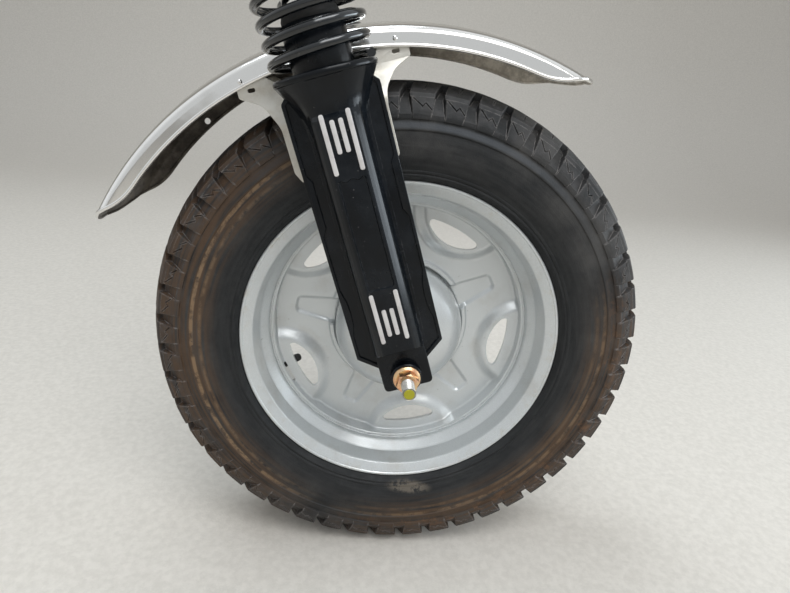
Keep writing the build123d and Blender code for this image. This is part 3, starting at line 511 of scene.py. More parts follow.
def black_paint(name, base, roughness, orange_peel, coat=0.0, dusty=0.35, specular=0.35):
    look = Finish(name, Specular_IOR_Level=specular, Coat_Weight=coat, Coat_Roughness=0.12)
    cloud = look.noise(42, 4.0, 0.6)
    fine = look.noise(5, 5.0, 0.65)
    lighter = tuple(channel * 2.4 + 0.002 for channel in base)
    colour = look.mix(look.spread(cloud, 0.35, 0.7), base, lighter)
    dust, specks, bare_edge = (0.050, 0.049, 0.047), (0.16, 0.155, 0.15), (0.13, 0.135, 0.14)
    colour = look.lay(colour, dust, look.spread(look.times(cloud, fine), 0.24, 0.42), dusty)
    colour = look.lay(colour, specks, look.patches(2.0, 0.73, 0.77, 2.0, 0.5), 0.6)
    colour = look.lay(colour, bare_edge, look.edges(0.7), look.spread(fine, 0.42, 0.62), 0.35)
    look.bump(look.noise(orange_peel, 2.0, 0.5), 0.04)
    blur = look.spread(fine, 0.25, 0.75, roughness * 0.85, roughness * 1.25)
    return look.finish(Base_Color=colour, Roughness=blur)


def stanchion_chrome():
    look = Finish("stanchion_chrome", Metallic=1.0)
    cloud = look.noise(30, 5.0, 0.65)
    lines = look.noise(0.6, 3.0, 0.6, (1, 1, 0.1))
    bright, stain = (0.88, 0.88, 0.88), (0.7, 0.7, 0.7)
    tint = look.lay(bright, stain, look.spread(cloud, 0.5, 0.75), 0.35)
    tint = look.lay(tint, stain, look.spread(lines, 0.55, 0.8), 0.18)
    look.bump(lines, 0.006)
    look.bump(look.noise(24, 2.0, 0.5), 0.12)
    fine_blur = look.spread(lines, 0.2, 0.8, 0.035, 0.06)
    blur = look.math("ADD", fine_blur, look.spread(cloud, 0.4, 0.75, 0.0, 0.05))
    return look.finish(Base_Color=tint, Roughness=blur)


def guard_chrome():
    """Bright on the outside. On the side of the wheel it has mud spots, with painted shade darker towards the
    rear and a painted reflection of the ground lighter towards the front.
    """
    look = Finish("guard_chrome", Metallic=1.0)
    offset = look.vector("SUBTRACT", look.position, GUARD_CENTRE)["Vector"]
    way = look.vector("MULTIPLY", offset, (1, 0, 1))["Vector"]
    way = look.vector("NORMALIZE", way)["Vector"]
    core = look.vector("MULTIPLY", way, ((GUARD_RADIUS - 20.0) * MM,) * 3)["Vector"]
    away = look.vector("SUBTRACT", offset, core)["Vector"]
    normal = look.add("ShaderNodeTexCoord").outputs["Normal"]
    under = look.math("LESS_THAN", look.vector("DOT_PRODUCT", normal, away)["Value"], 0.0)
    cloud = look.noise(30, 5.0, 0.65)
    lines = look.noise(1.2, 3.0, 0.6, (1, 0.1, 1))
    bright, stain, scratch = (0.82, 0.81, 0.79), (0.60, 0.58, 0.55), (0.55, 0.53, 0.50)
    tint = look.lay(bright, stain, look.spread(cloud, 0.5, 0.75), 0.3)
    tint = look.lay(tint, scratch, look.spread(lines, 0.55, 0.8), 0.15)
    spots = look.patches(16, 0.35, 0.65)
    # Mud spots on the underside, dark enough to also serve as painted shade at the rear
    mud_and_painted_light = look.mix(spots, (0.060, 0.050, 0.040), (0.150, 0.130, 0.105))
    # Painted reflection of the ground: a pale warm tint for the underside towards the front
    painted_ground_reflection = look.mix(spots, (0.48, 0.44, 0.38), (0.80, 0.75, 0.67))
    # Painted light: the underside goes from painted shade at the rear to the painted ground reflection at the
    # front
    mud_and_painted_light = look.mix(look.spread(look.toward(40), 110.0, 235.0), mud_and_painted_light, painted_ground_reflection)
    tint = look.mix(under, tint, mud_and_painted_light)
    look.bump(lines, 0.006)
    look.bump(look.noise(24, 2.0, 0.5), 0.10)
    fine_blur = look.spread(lines, 0.2, 0.8, 0.06, 0.11)
    blur = look.math("ADD", fine_blur, look.spread(cloud, 0.4, 0.75, 0.0, 0.08))
    blur = look.math("ADD", blur, look.times(under, 0.40))
    metal = look.math("SUBTRACT", 1.0, look.times(under, 0.8))
    return look.finish(Base_Color=tint, Roughness=blur, Metallic=metal)


def dull_metal(name, colour, stain, roughness, grain_mm=1.6, metallic=0.7):
    look = Finish(name, Metallic=metallic)
    grain = look.noise(grain_mm, 3.0, 0.6)
    tint = look.mix(look.patches(16, 0.42, 0.72, roughness=0.65), colour, stain)
    rubbed = tuple(min(channel * 1.25, 1.0) for channel in colour)
    tint = look.lay(tint, rubbed, look.edges(0.6), 0.3)
    look.bump(grain, 0.03)
    blur = look.spread(grain, 0.2, 0.8, roughness * 0.8, roughness * 1.2)
    return look.finish(Base_Color=tint, Roughness=blur)


def axle_zinc():
    """Zinc on the thread, and yellow paint on the end faces."""
    look = Finish("axle_zinc", Metallic=0.9)
    across = look.add("ShaderNodeSeparateXYZ", {0: look.position}).outputs["Y"]
    out = look.math("DIVIDE", look.math("ABSOLUTE", across), MM)
    grain = look.noise(1.5, 3.0, 0.6)
    colour = look.mix(look.spread(grain, 0.3, 0.7), (0.62, 0.61, 0.58), (0.40, 0.39, 0.36))
    yellow = (0.44, 0.42, 0.045)
    colour = look.lay(colour, yellow, look.spread(out, AXLE_END - 0.6, AXLE_END - 0.4))
    look.bump(grain, 0.03)
    return look.finish(Base_Color=colour, Roughness=look.spread(grain, 0.2, 0.8, 0.28, 0.45))


def nut_zinc():
    look = Finish("nut_zinc", Metallic=0.95)
    cloud = look.noise(5, 3.0, 0.6)
    copper, gold, pink = (0.78, 0.43, 0.25), (0.80, 0.60, 0.34), (0.66, 0.36, 0.30)
    colour = look.mix(look.spread(cloud, 0.35, 0.65), copper, gold)
    colour = look.lay(colour, pink, look.patches(8, 0.58, 0.72, 3.0, 0.6))
    look.bump(look.noise(1.0, 3.0, 0.6), 0.02)
    return look.finish(Base_Color=colour, Roughness=look.spread(cloud, 0.3, 0.7, 0.26, 0.38))


def seal_rubber():
    look = Finish("seal_rubber", Specular_IOR_Level=0.4)
    grain = look.noise(2.0, 3.0, 0.6)
    colour = look.mix(look.spread(grain, 0.3, 0.7), (0.012, 0.012, 0.012), (0.026, 0.025, 0.024))
    look.bump(grain, 0.08)
    return look.finish(Base_Color=colour, Roughness=look.spread(grain, 0.2, 0.8, 0.5, 0.75))


FINISHES = {
    "tyre_rubber": tyre_rubber(),
    "wheel_silver": wheel_silver(),
    "leg_black": black_paint("leg_black", (0.0018, 0.0028, 0.0042), 0.22, 1.6, 0.12, 0.06, 0.18),
    "fork_black": black_paint("fork_black", (0.010, 0.010, 0.011), 0.36, 2.0),
    "frame_black": black_paint("frame_black", (0.012, 0.012, 0.013), 0.42, 1.2),
    "spring_black": black_paint("spring_black", (0.002, 0.003, 0.004), 0.10, 2.4, 0.9, 0.03, 0.25),
    "guard_chrome": guard_chrome(),
    "stanchion_chrome": stanchion_chrome(),
    "plated_steel": dull_metal("plated_steel", (0.60, 0.60, 0.58), (0.44, 0.43, 0.40), 0.36),
    "bracket_steel": dull_metal("bracket_steel", (0.60, 0.575, 0.52), (0.50, 0.465, 0.40), 0.40, 2.4, 0.45),
    "bar_silver": dull_metal("bar_silver", (0.64, 0.62, 0.61), (0.54, 0.51, 0.50), 0.45, 0.8, 0.15),
    "cast_aluminium": dull_metal("cast_aluminium", (0.50, 0.51, 0.52), (0.36, 0.36, 0.36), 0.46, 1.2),
    "axle_zinc": axle_zinc(),
    "nut_zinc": nut_zinc(),
    "seal_rubber": seal_rubber(),
}


# Tyre
BLOCK_COUNT = 48
BLOCK_GAP_FIRST = radians(4.2)
CROWN_RADIUS = 106.0        # of the tread's arc, seen in section
TREAD_DEPTH = 7.0
BLOCK_ROOT = 0.8            # how far a block reaches into the carcass
BLOCK_FOOT_HALF = 8.6       # half its width at its foot, at the tread's edge and at its inner end
BLOCK_EDGE_HALF = 11.8
BLOCK_END_HALF = 13.4
BLOCK_EDGE_OUT = 45.9       # where its tread starts and ends, from the middle of the tyre
BLOCK_END_OUT = 19.9
BLOCK_SHIFT = 6.5           # how far its inner end is moved along the tread
FOOT_SPOT = Vector((229.0, 54.6))   # radius and out of a gap's outer end, its bend and the tread's edge
FLOOR_SPOT = Vector((228.0, 53.7))
KNEE_SPOT = Vector((241.7, 41.6))
EDGE_SPOT = Vector((246.7, 46.6))
UP_SIDE = (EDGE_SPOT - FOOT_SPOT).normalized()
OFF_SIDE = Vector((-UP_SIDE.y, UP_SIDE.x))
SIPE_PATH = [(-8.0, 5.0), (0.5, -2.5), (3.0, 1.0), (10.0, -6.0)]    # across and up a block's side face
SIPE_HALF = 0.85
SIPE_DEPTH = 1.8
RIBS = [(7.0, 17.0), (-4.5, 4.5), (-17.0, -7.0)]
RIB_SWING = 0.7
RIB_EDGE = 0.7
BLOCK_CHAMFER = 0.8         # width and depth of the slope along a block's long edges
CHAMFER_DEPTH = 0.5
TREAD_SIPE = 0.5            # where the straight sipe crosses the tread, from the block's middle


def tread_radius(out):
    return TYRE_RADIUS - CROWN_RADIUS + sqrt(CROWN_RADIUS ** 2 - out ** 2)


def wheel_point(radius, angle, out):
    return WHEEL @ Vector((radius * cos(angle), radius * sin(angle), out))


def sipe_rise(across):
    """How high the lightning sipe is at a distance across the block."""
    for (start, low), (end, high) in zip(SIPE_PATH, SIPE_PATH[1:]):
        if across <= end:
            return low + (high - low) * max(across - start, 0.0) / (end - start)
    return SIPE_PATH[-1][1]


def block_rows():
    """Rows up a block's side face and in over the tread. Each has its spot and root as radius and
    out, half its width, its shift along the tread, and its place in the side sipe and tread sipe."""
    side_face = [(0.03, 0.1, None), (0.44, 0.5, -1), (0.44, 0.5, 0), (0.44, 0.5, 1),
                 (0.765, 0.6, None), (0.785, 0.0, None), (0.965, 0.2, None)]
    rows = [(Vector((foot, out)), Vector((foot + 0.5, 52.6)), 8.2, 0.0, None, False)
            for foot, out in ((223.2, 53.4), (223.8, 54.5), (225.6, 54.9))]
    for share, bulge, sipe in side_face:
        spot = FOOT_SPOT.lerp(EDGE_SPOT, share) + OFF_SIDE * bulge
        root = FLOOR_SPOT.lerp(KNEE_SPOT, share) - OFF_SIDE * BLOCK_ROOT
        half = BLOCK_FOOT_HALF + (BLOCK_EDGE_HALF - BLOCK_FOOT_HALF) * share
        rows.append((spot, root, half, 0.0, sipe, False))
    for out in (BLOCK_EDGE_OUT, 41.0, 40.0, 33.0, 26.5, 23.0, 22.0, 20.7, 20.1):
        drop = 0.6 if out < 20.5 else 0.0
        spot = Vector((tread_radius(out) - drop, out))
        root = Vector((tread_radius(out) - TREAD_DEPTH - BLOCK_ROOT, min(out, KNEE_SPOT.y)))
        share = (BLOCK_EDGE_OUT - out) / (BLOCK_EDGE_OUT - BLOCK_END_OUT)
        half = BLOCK_EDGE_HALF + (BLOCK_END_HALF - BLOCK_EDGE_HALF) * share
        rows.append((spot, root, half, BLOCK_SHIFT * share, None, 22.5 < out < 40.5))
    return rows


def block(rows, middle, side):
    """One shoulder block, with its sipes."""
    points, tops, roots = [], [], []
    for spot, root, half, shift, sipe, slit in rows:
        inward = (root - spot).normalized()
        columns = [-half, BLOCK_CHAMFER - half, -8.0, TREAD_SIPE - 0.7, TREAD_SIPE, TREAD_SIPE + 0.7, 3.0,
                   min(10.0, half - 1.2), half - BLOCK_CHAMFER, half]
        last = len(columns) - 1
        row = []
        for column, across in enumerate(columns):
            here = spot.copy()
            across = max(min(across, half), -half)
            depth = CHAMFER_DEPTH if column in (0, last) else 0.0
            if sipe is not None:
                here += UP_SIDE * (sipe_rise(across) + sipe * SIPE_HALF)
                depth = SIPE_DEPTH if sipe == 0 and 1 < column < last - 1 else depth
            elif slit and across == TREAD_SIPE:
                depth = SIPE_DEPTH
            here += inward * depth
            row.append(len(points))
            points.append(wheel_point(here.x, middle - (shift + across) / spot.x, side * here.y))
        tops.append(row)
        root_row = []
        for across in (-half - 0.6, half + 0.6):
            root_row.append(len(points))
            points.append(wheel_point(root.x, middle - (shift + across) / spot.x, side * root.y))
        roots.append(root_row)
    faces = []
    for number in range(len(rows) - 1):
        here, after = tops[number], tops[number + 1]
        for column in range(len(here) - 1):
            faces.append((here[column], after[column], after[column + 1], here[column + 1]))
        low, high = roots[number], roots[number + 1]
        faces.append((low[0], high[0], after[0], here[0]))
        faces.append((low[1], here[-1], after[-1], high[1]))
        faces.append((low[0], low[1], high[1], high[0]))
    faces.append((*tops[0], roots[0][1], roots[0][0]))
    faces.append((*reversed(tops[-1]), roots[-1][0], roots[-1][1]))
    return points, faces


def rib(low, high):
    """A ring of tread between two grooves, with zigzag sides."""
    turns = 4 * BLOCK_COUNT
    root = TREAD_DEPTH + BLOCK_ROOT
    section = [(low, root), (low, RIB_EDGE), (low + RIB_EDGE, 0.0), ((low + high) / 2, 0.0),
               (high - RIB_EDGE, 0.0), (high, RIB_EDGE), (high, root)]
    points = []
    for step in range(turns):
        angle = 2 * pi * step / turns
        swing = RIB_SWING * (1 if step % 4 in (0, 1) else -1)
        points += [wheel_point(tread_radius(out) - drop, angle, out + swing) for out, drop in section]
    return points, grid_faces(turns, len(section), True, True)


def tread():
    pitch = 2 * pi / BLOCK_COUNT
    rows = block_rows()
    shapes = [rib(low, high) for low, high in RIBS]
    for side, first in ((1, 0.5), (-1, 1.0)):
        for number in range(BLOCK_COUNT):
            shapes.append(block(rows, BLOCK_GAP_FIRST + (number + first) * pitch, side))
    return shapes


def carcass():
    """The tyre without its blocks, from the right bead round to the left one."""
    wall = [
        (156.7, 34.0), (166.5, 39.0), (168.0, 41.8), (170.6, 44.8), (172.0, 46.8),
        (173.4, 46.8), (174.2, 46.4), (175.4, 47.6), (177.0, 48.0), (177.8, 47.8), (183.0, 50.4),
        (191.0, 52.8), (200.0, 54.0), (207.0, 54.3), (212.6, 54.0), (213.4, 54.1), (214.0, 55.0),
        (215.0, 55.0), (221.8, 53.2), (222.8, 53.1), (224.0, 53.7), tuple(FLOOR_SPOT), tuple(KNEE_SPOT),
    ]
    scale = TYRE_HALF / max(out for radius, out in wall)
    crown = [(tread_radius(out) - TREAD_DEPTH, out) for out in (34.0, 26.0, 18.0, 9.0, 0.0)]
    half = [(radius, out * scale) for radius, out in wall] + crown
    profile = half + [(radius, -out) for radius, out in reversed(half[:-1])]
    return turned(profile, 0.5, WHEEL, 240, 2)


piece("tyre_body", [carcass(), *tread()], "tyre_rubber", "wheel", ["tyre"], 30)


# Rim, disc and hub
WELL_RADIUS = 141.0


def rim():
    lip = [(166.5, 39.0), (167.1, 40.8), (166.0, 42.1), (164.2, 42.1), (163.3, 41.0), (162.4, 40.7),
           (154.3, 36.2), (153.5, 34.6)]
    lip_soft = [0.3, 0.8, 0.9, 0.9, 0.4, 0.3, 1.6, 1.2]
    well = [(150.0, 18.4), (148.8, 16.7), (142.4, 10.0), (WELL_RADIUS, 8.0), (WELL_RADIUS, -25.5),
            (150.0, -33.5)]
    well_soft = [1.8, 1.4, 2.2, 1.6, 1.5, 1.5]
    left_lip = [(radius, -out) for radius, out in reversed(lip)]
    hidden = [(156.7, -34.0), (153.0, -32.0), (144.0, -24.0), (144.0, 8.0), (153.0, 17.0), (156.7, 34.0)]
    soft = lip_soft + well_soft + lip_soft[::-1] + [0.3] * len(hidden)
    return turned(lip + well + left_lip + hidden, soft, WHEEL, 240, 4)


DISC_PLANE = -15.0
DISC_SHEET = 4.0
DISC_INNER = 66.0
DISC_EDGE = 134.4           # where the bend into the turned edge starts
FLANGE_RADIUS = 137.0
FLANGE_OUT = 3.0
WINDOW_COUNT = 5
WINDOW_FIRST = radians(-7.4)
WINDOW_STEP = 2 * pi / WINDOW_COUNT
WINDOW_OUTER = 125.0
WINDOW_CENTRE = 151.5
WINDOW_BULGE = 46.0
WINDOW_CORNER = 3.6
EYE_CENTRE = 147.0
EYE_RADIUS = 57.7
EYE_HEIGHT = 7.0
EYE_SLOPE = 14.0
CHANNEL_ROOT = 16.5         # half widths at the ridge and at the outer end
CHANNEL_TIP = 10.0
CHANNEL_START = 71.0
CHANNEL_END = 117.5
CHANNEL_DEPTH = 3.0
CHANNEL_SOFT = 4.6
RIDGE_RADIUS = 75.0
RIDGE_HALF = 2.9
RIDGE_HEIGHT = 4.0
CREASE_RADIUS = 71.6        # of the step down to the drum
CREASE_DEPTH = 2.0
SLOT_ANGLE = radians(208.6)
SLOT_HALF = 13.0


def disc_height(radius, angle):
    """How far out the right face of the pressed disc stands."""
    turn = (angle - WINDOW_FIRST + WINDOW_STEP / 2) % WINDOW_STEP - WINDOW_STEP / 2
    from_centre = sqrt((radius * cos(turn) - EYE_CENTRE) ** 2 + (radius * sin(turn)) ** 2)
    height = DISC_PLANE + EYE_HEIGHT * ease((EYE_RADIUS - from_centre) / EYE_SLOPE)
    turn = (angle - WINDOW_FIRST) % WINDOW_STEP - WINDOW_STEP / 2
    along, across = radius * cos(turn), radius * sin(turn)
    share = (along - CHANNEL_START) / (CHANNEL_END - CHANNEL_START)
    beside = CHANNEL_ROOT + (CHANNEL_TIP - CHANNEL_ROOT) * share - abs(across)
    border = CHANNEL_SOFT + 2.0
    corner = max(border - beside, 0.0) ** 2 + max(border - (CHANNEL_END - along), 0.0) ** 2
    channel = ease((border - sqrt(corner)) / CHANNEL_SOFT)
    ridge = ease((RIDGE_HALF + 1.2 - abs(radius - RIDGE_RADIUS)) / 2.4)
    crease = ease((CREASE_RADIUS - radius) / 1.6)
    return height + RIDGE_HEIGHT * ridge * (1 - channel) - CHANNEL_DEPTH * channel - CREASE_DEPTH * crease


def window_outline():
    """A lens between two arcs, with rounded tips."""
    meet = (WINDOW_CENTRE ** 2 + WINDOW_OUTER ** 2 - WINDOW_BULGE ** 2) / (2 * WINDOW_CENTRE)
    half_chord = sqrt(WINDOW_OUTER ** 2 - meet ** 2)
    outer_half, inner_half = asin(half_chord / WINDOW_OUTER), asin(half_chord / WINDOW_BULGE)
    steps = 40
    lens = []
    for step in range(steps + 1):
        angle = outer_half * (2 * step / steps - 1)
        lens.append(Vector((WINDOW_OUTER * cos(angle), WINDOW_OUTER * sin(angle))))
    for step in range(1, steps):
        angle = inner_half * (1 - 2 * step / steps)
        lens.append(Vector((WINDOW_CENTRE - WINDOW_BULGE * cos(angle), WINDOW_BULGE * sin(angle))))
    tips = lens[0], lens[steps]
    kept = [point for point in lens if min((point - tip).length for tip in tips) > WINDOW_CORNER * 1.7]
    outline = []
    for number, point in enumerate(kept):
        outline.append(point)
        after = kept[(number + 1) % len(kept)]
        if (after - point).length > WINDOW_CORNER * 1.2:
            tip = min(tips, key=lambda spot: (spot - point).length)
            corner = ((point + after) / 2).lerp(tip, 0.62)
            for t in (0.25, 0.5, 0.75):
                outline.append(point * (1 - t) ** 2 + corner * (2 * t * (1 - t)) + after * t ** 2)
    return [tuple(point) for point in outline]


def wheel_disc():
    """The pressed disc with its turned edge, windows and the slot for the valve."""
    rings, turns = 66, 480
    bend = FLANGE_RADIUS - DISC_EDGE
    bend_steps = 4
    radii = [DISC_INNER + (DISC_EDGE - DISC_INNER) * step / (rings - 1) for step in range(rings)]
    flange = [(FLANGE_RADIUS, FLANGE_OUT - 0.6), (FLANGE_RADIUS + 0.6, FLANGE_OUT), (WELL_RADIUS, FLANGE_OUT)]
    points = []
    for step in range(turns):
        angle = 2 * pi * step / turns
        front = [(radius, disc_height(radius, angle)) for radius in radii]
        back = [(radius, height - DISC_SHEET) for radius, height in reversed(front)]
        edge, low = front[-1][1], back[0][1]
        for part in range(1, bend_steps + 1):
            swing = pi / 2 * part / bend_steps
            front.append((DISC_EDGE + bend * sin(swing), edge + bend * (1 - cos(swing))))
        rear = [(WELL_RADIUS, low + 3.0), (WELL_RADIUS - 1.0, low + 0.9), (WELL_RADIUS - 3.2, low)]
        points += [wheel_point(radius, angle, out) for radius, out in front + flange + rear + back]
    pressing = points, grid_faces(turns, len(points) // turns, True, True)
    cutters = []
    for number in range(WINDOW_COUNT):
        window = WHEEL @ Matrix.Rotation(WINDOW_FIRST + number * WINDOW_STEP, 4, "Z")
        cutters.append(prism(window_outline(), -30.0, 20.0, window))
    slot = rectangle(135.2, 145.0, -SLOT_HALF, SLOT_HALF, 1.5, 3)
    cutters.append(prism(slot, -24.0, -3.0, WHEEL @ Matrix.Rotation(SLOT_ANGLE, 4, "Z")))
    return cut([pressing], cutters)


def weld():
    """The rough seam where the disc's turned edge meets the rim."""
    path = []
    turns = 360
    for step in range(turns):
        angle = 2 * pi * step / turns
        rough = 0.25 * sin(angle * 61) + 0.15 * sin(angle * 97 + 1.0)
        radius = WELL_RADIUS - 0.6 + 0.15 * sin(angle * 41)
        path.append(wheel_point(radius, angle, FLANGE_OUT + 0.3 + rough))
    return tube(path, 1.1 * MM, 8, True, Vector((0, 1, 0)))


DRUM_RADIUS = 70.0
DRUM_INNER = 63.0
DRUM_FAR = -44.0
DOME_BASE = -4.0
DOME_HEIGHT = 36.0
DOME_POWER = 2.6
NOSE_RADIUS = 21.0
NOSE_END = 55.0
HUB_RADIUS = 16.0


def wheel_hub():
    dome = []
    steps = 24
    for step in range(steps + 1):
        radius = NOSE_RADIUS + (DRUM_RADIUS - NOSE_RADIUS) * sin(pi / 2 * step / steps)
        share = max(1 - (radius / DRUM_RADIUS) ** DOME_POWER, 0.0)
        dome.append((radius, DOME_BASE + (DOME_HEIGHT - DOME_BASE) * share ** (1 / DOME_POWER)))
    nose = [(AXLE_BORE, NOSE_END), (NOSE_RADIUS - 1.5, NOSE_END), (NOSE_RADIUS, DOME_HEIGHT + 2)]
    drum = [(DRUM_RADIUS, DOME_BASE), (DRUM_RADIUS, DRUM_FAR), (DRUM_INNER, DRUM_FAR),
            (DRUM_INNER, DISC_PLANE), (HUB_RADIUS, DISC_PLANE), (HUB_RADIUS, DRUM_FAR), (AXLE_BORE, DRUM_FAR)]
    profile = fillet(nose, [0, 2.0, 0], 4) + dome + fillet(drum, [0, 1.5, 1.0, 3.0, 3.0, 1.0, 0], 4)
    return lathe(profile, WHEEL, 160)


VALVE_ANGLE = radians(205.5)
VALVE_OUT = -19.0
VALVE_CAP = [(0, 20.5), (2.8, 20.2), (4.1, 18.6), (4.5, 16.4), (4.5, 9.4), (4.1, 8.8), (3.3, 8.8)]
VALVE_BOOT = [(3.3, 7.0), (3.9, 3.2), (5.6, 1.6), (6.0, 0), (0, 0)]


def valve():
    """A rubber stem with a domed cap that points at the axle."""
    foot = Matrix.Rotation(VALVE_ANGLE, 4, "Z") @ place(WELL_RADIUS - 0.2, 0, VALVE_OUT)
    inward = WHEEL @ foot @ Matrix.Rotation(radians(-90), 4, "Y")
    soft = [0, 0.8, 1.2, 1.0, 0.5, 0.4, 0, 0.8, 1.0, 0.8, 0.3, 0]
    return turned(VALVE_CAP + VALVE_BOOT, soft, inward, 40)


piece("rim_ring", [rim(), weld()], "wheel_silver", "wheel", ["rim"], 50)
piece("disc_pressing", [wheel_disc()], "wheel_silver", "wheel", ["wheel_disc"], 40)
piece("hub_and_drum", [wheel_hub()], "wheel_silver", "wheel", ["wheel_hub"], 50)
piece("valve_and_cap", [valve()], "seal_rubber", "wheel", ["valve_stem"])


# Lower legs
BRACKET_OUT = 72.0
BRACKET_SHEET = 2.5
ANCHOR_LEVEL = 80.0         # where a peg on the left leg holds the brake plate
COLUMN_FOOT = 24.0
COLUMN_SLOPE = 9.0
LUG_INNER = 92.0
LUG_FACE = 116.0
COLUMN_FRONT = 137.0
SLIDER_RADIUS = 26.0
SEAT_RADIUS = 42.5
SEAT_THICKNESS = 6.0
BELL_LOW = 212.0
NECK_RADIUS = 25.0
NECK_TOP = 306.0
BOSS_FACE = 124.0
BOSS_RADIUS = 14.5
LUG_LOW = -14.0
LUG_HIGH = 60.0
STUD_RADIUS = 7.0           # of the studs that the bracket is bolted to
PEG_RADIUS = 5.0
WING_BACK = 102.0
WING_FACE = 108.0
WING_TOP = 262.0
WING_FOOT = 9.0
WING_HALF = 40.5
COLUMN_HALF = 23.0
BEVEL = [(12.9, COLUMN_FRONT), (14.2, 136.2), (16.8, 133.8), (19.2, 130.9), (20.1, 129.0), (21.2, 123.0),
         (22.5, 115.0), (COLUMN_HALF, 110.0)]
BEVEL_SOFT = [0.7, 1.5, 3.0, 1.5, 1.0, 3.0, 1.5, 0]


def column_section(level):
    """The leg's section at a level, with its front face cut back where the column starts."""
    front = LUG_FACE + (COLUMN_FRONT - LUG_FACE) * min(max((level - COLUMN_FOOT) / COLUMN_SLOPE, 0.0), 1.0)
    left = [(-x, out) for x, out in reversed(BEVEL)]
    rounded = fillet(left + BEVEL, BEVEL_SOFT[::-1] + BEVEL_SOFT, 3)
    angles = [radians(100 - 20 * step) for step in range(11)]
    back = [(SLIDER_RADIUS * sin(angle), LEG_OUT - SLIDER_RADIUS * cos(angle)) for angle in angles]
    return [(x, min(out, front)) for x, out in rounded + back]


def leg_column():
    """The column, which opens into a bell under the spring seat."""
    steps = 16
    bell_top = SEAT_LEVEL - SEAT_THICKNESS + 0.5
    levels = [COLUMN_FOOT + rise for rise in (0.01, 2, 4, 6, 8, 9.5)] + [60, 120, 180, 205]
    levels += [BELL_LOW + (bell_top - BELL_LOW) * step / steps for step in range(steps + 1)]
    sections = []
    for level in levels:
        share = min(max((level - BELL_LOW) / (bell_top - BELL_LOW), 0.0), 1.0)
        radius = SLIDER_RADIUS + (SEAT_RADIUS - 1.0 - SLIDER_RADIUS) * share ** 2.05
        section = []
        for x, out in column_section(level):
            away = Vector((x, out - LEG_OUT))
            ring = away.normalized() * max(radius, away.length if share < 0.5 else 0.0)
            spot = away.lerp(ring, ease(share * 1.1))
            section.append((spot.x, -(spot.y + LEG_OUT), level))
        sections.append(section)
    return loft(sections, FORK)


def both_ways(right, soft, steps):
    """An outline from its right half, which runs upwards, and the same half mirrored."""
    left = [(-x, level) for x, level in reversed(right)]
    return fillet(right + left, soft + soft[::-1], steps)


def wing_outline(inset=0.0):
    half = WING_HALF - inset
    right = [(COLUMN_HALF, WING_FOOT + inset), (half, 23 + inset * 0.5), (half, 253),
             (31.5, WING_TOP - inset)]
    return both_ways(right, [0, 2, 3, 2], 3)


def wing_border():
    """The inner edge of the raised rim round the wings, with its steps and waves."""
    right = [(22, 12.5), (37.3, 25.5), (37.3, 46), (34.6, 57), (33.8, 68), (34.6, 80), (37.5, 92),
             (37.5, 142), (33.4, 149), (33.4, 189), (37.0, 195), (37.0, 251.5), (30.0, 258.5)]
    return both_ways(right, [0, 2, 14, 14, 12, 14, 14, 3, 2, 2, 2, 3, 0], 4)


def panel_outline():
    points = [(-10.4, 94), (10.4, 94), (10.4, 188), (5.2, 184.6), (0, 187.4), (-5.2, 184.6), (-10.4, 188)]
    return fillet(points, [2.5, 2.5, 2.2, 3, 4, 3, 2.2], 5)


# Each bar's distance from the middle, its lower and its upper end
BARS = [(10.5, 44.5, 90.5), (3.4, 50.0, 75.0), (10.5, 192.0, 239.0), (3.4, 207.5, 233.5)]
BAR_WIDTH = 3.8
BAR_RISE = 0.5


def bar_outlines(margin=0.0):
    half = BAR_WIDTH / 2 + margin
    outlines = []
    for offset, low, high in BARS:
        for x in (-offset, offset):
            bar = rectangle(x - half, x + half, low - margin, high + margin, half * 0.98, 6)
            outlines.append(bar)
    return outlines


def lower_leg(has_peg):
    panel = [[(x, y, out) for x, y in grow(panel_outline(), spread)]
             for spread, out in ((0.0, COLUMN_FRONT - 1.5), (1.2, COLUMN_FRONT + 0.3))]
    slots = [prism(outline, COLUMN_FRONT - 1.0, COLUMN_FRONT + 5.0, CROSS) for outline in bar_outlines(0.35)]
    lug = rectangle(-COLUMN_HALF, COLUMN_HALF, LUG_LOW, LUG_HIGH, 5)
    bore = AXLE_BORE + CLEARANCE
    boss = [(bore, 110), (BOSS_RADIUS, 110), (BOSS_RADIUS, LUG_FACE), (BOSS_RADIUS - 0.3, BOSS_FACE - 1),
            (BOSS_RADIUS - 1.5, BOSS_FACE), (bore, BOSS_FACE)]
    seat_low = SEAT_LEVEL - SEAT_THICKNESS
    seat = [(0, seat_low), (SEAT_RADIUS, seat_low), (SEAT_RADIUS, SEAT_LEVEL), (0, SEAT_LEVEL)]
    shapes = [
        cut([leg_column()], [loft(panel, CROSS), *slots]),
        plate([lug], LUG_INNER, LUG_FACE, CROSS, 1.8, 3),
        turned(boss, [0, 0, 1, 0.8, 0.8, 0], CROSS, 64),
        plate([wing_outline()], WING_BACK, WING_FACE, CROSS, 0.8),
        plate([wing_outline(0.1), wing_border()], WING_BACK + 3, WING_FACE + 1.5, CROSS, 0.6),
        turned(seat, [0, 2.8, 2.8, 0], LEG, 96, 5),
        rod(NECK_RADIUS, SEAT_LEVEL - 3, NECK_TOP, LEG, 1.2, TUBE_BORE + CLEARANCE),
    ]
    for spot in BRACKET_BOLTS:
        stud_end = BRACKET_OUT + BRACKET_SHEET
        shapes.append(rod(STUD_RADIUS, stud_end, WING_BACK + 2, CROSS @ place(*spot), 0.8))
    if has_peg:
        peg = CROSS @ place(0, ANCHOR_LEVEL)
        shapes.append(rod(PEG_RADIUS, -DRUM_FAR + 2, LUG_INNER + 4, peg, 0.8, turns=32))
    return shapes


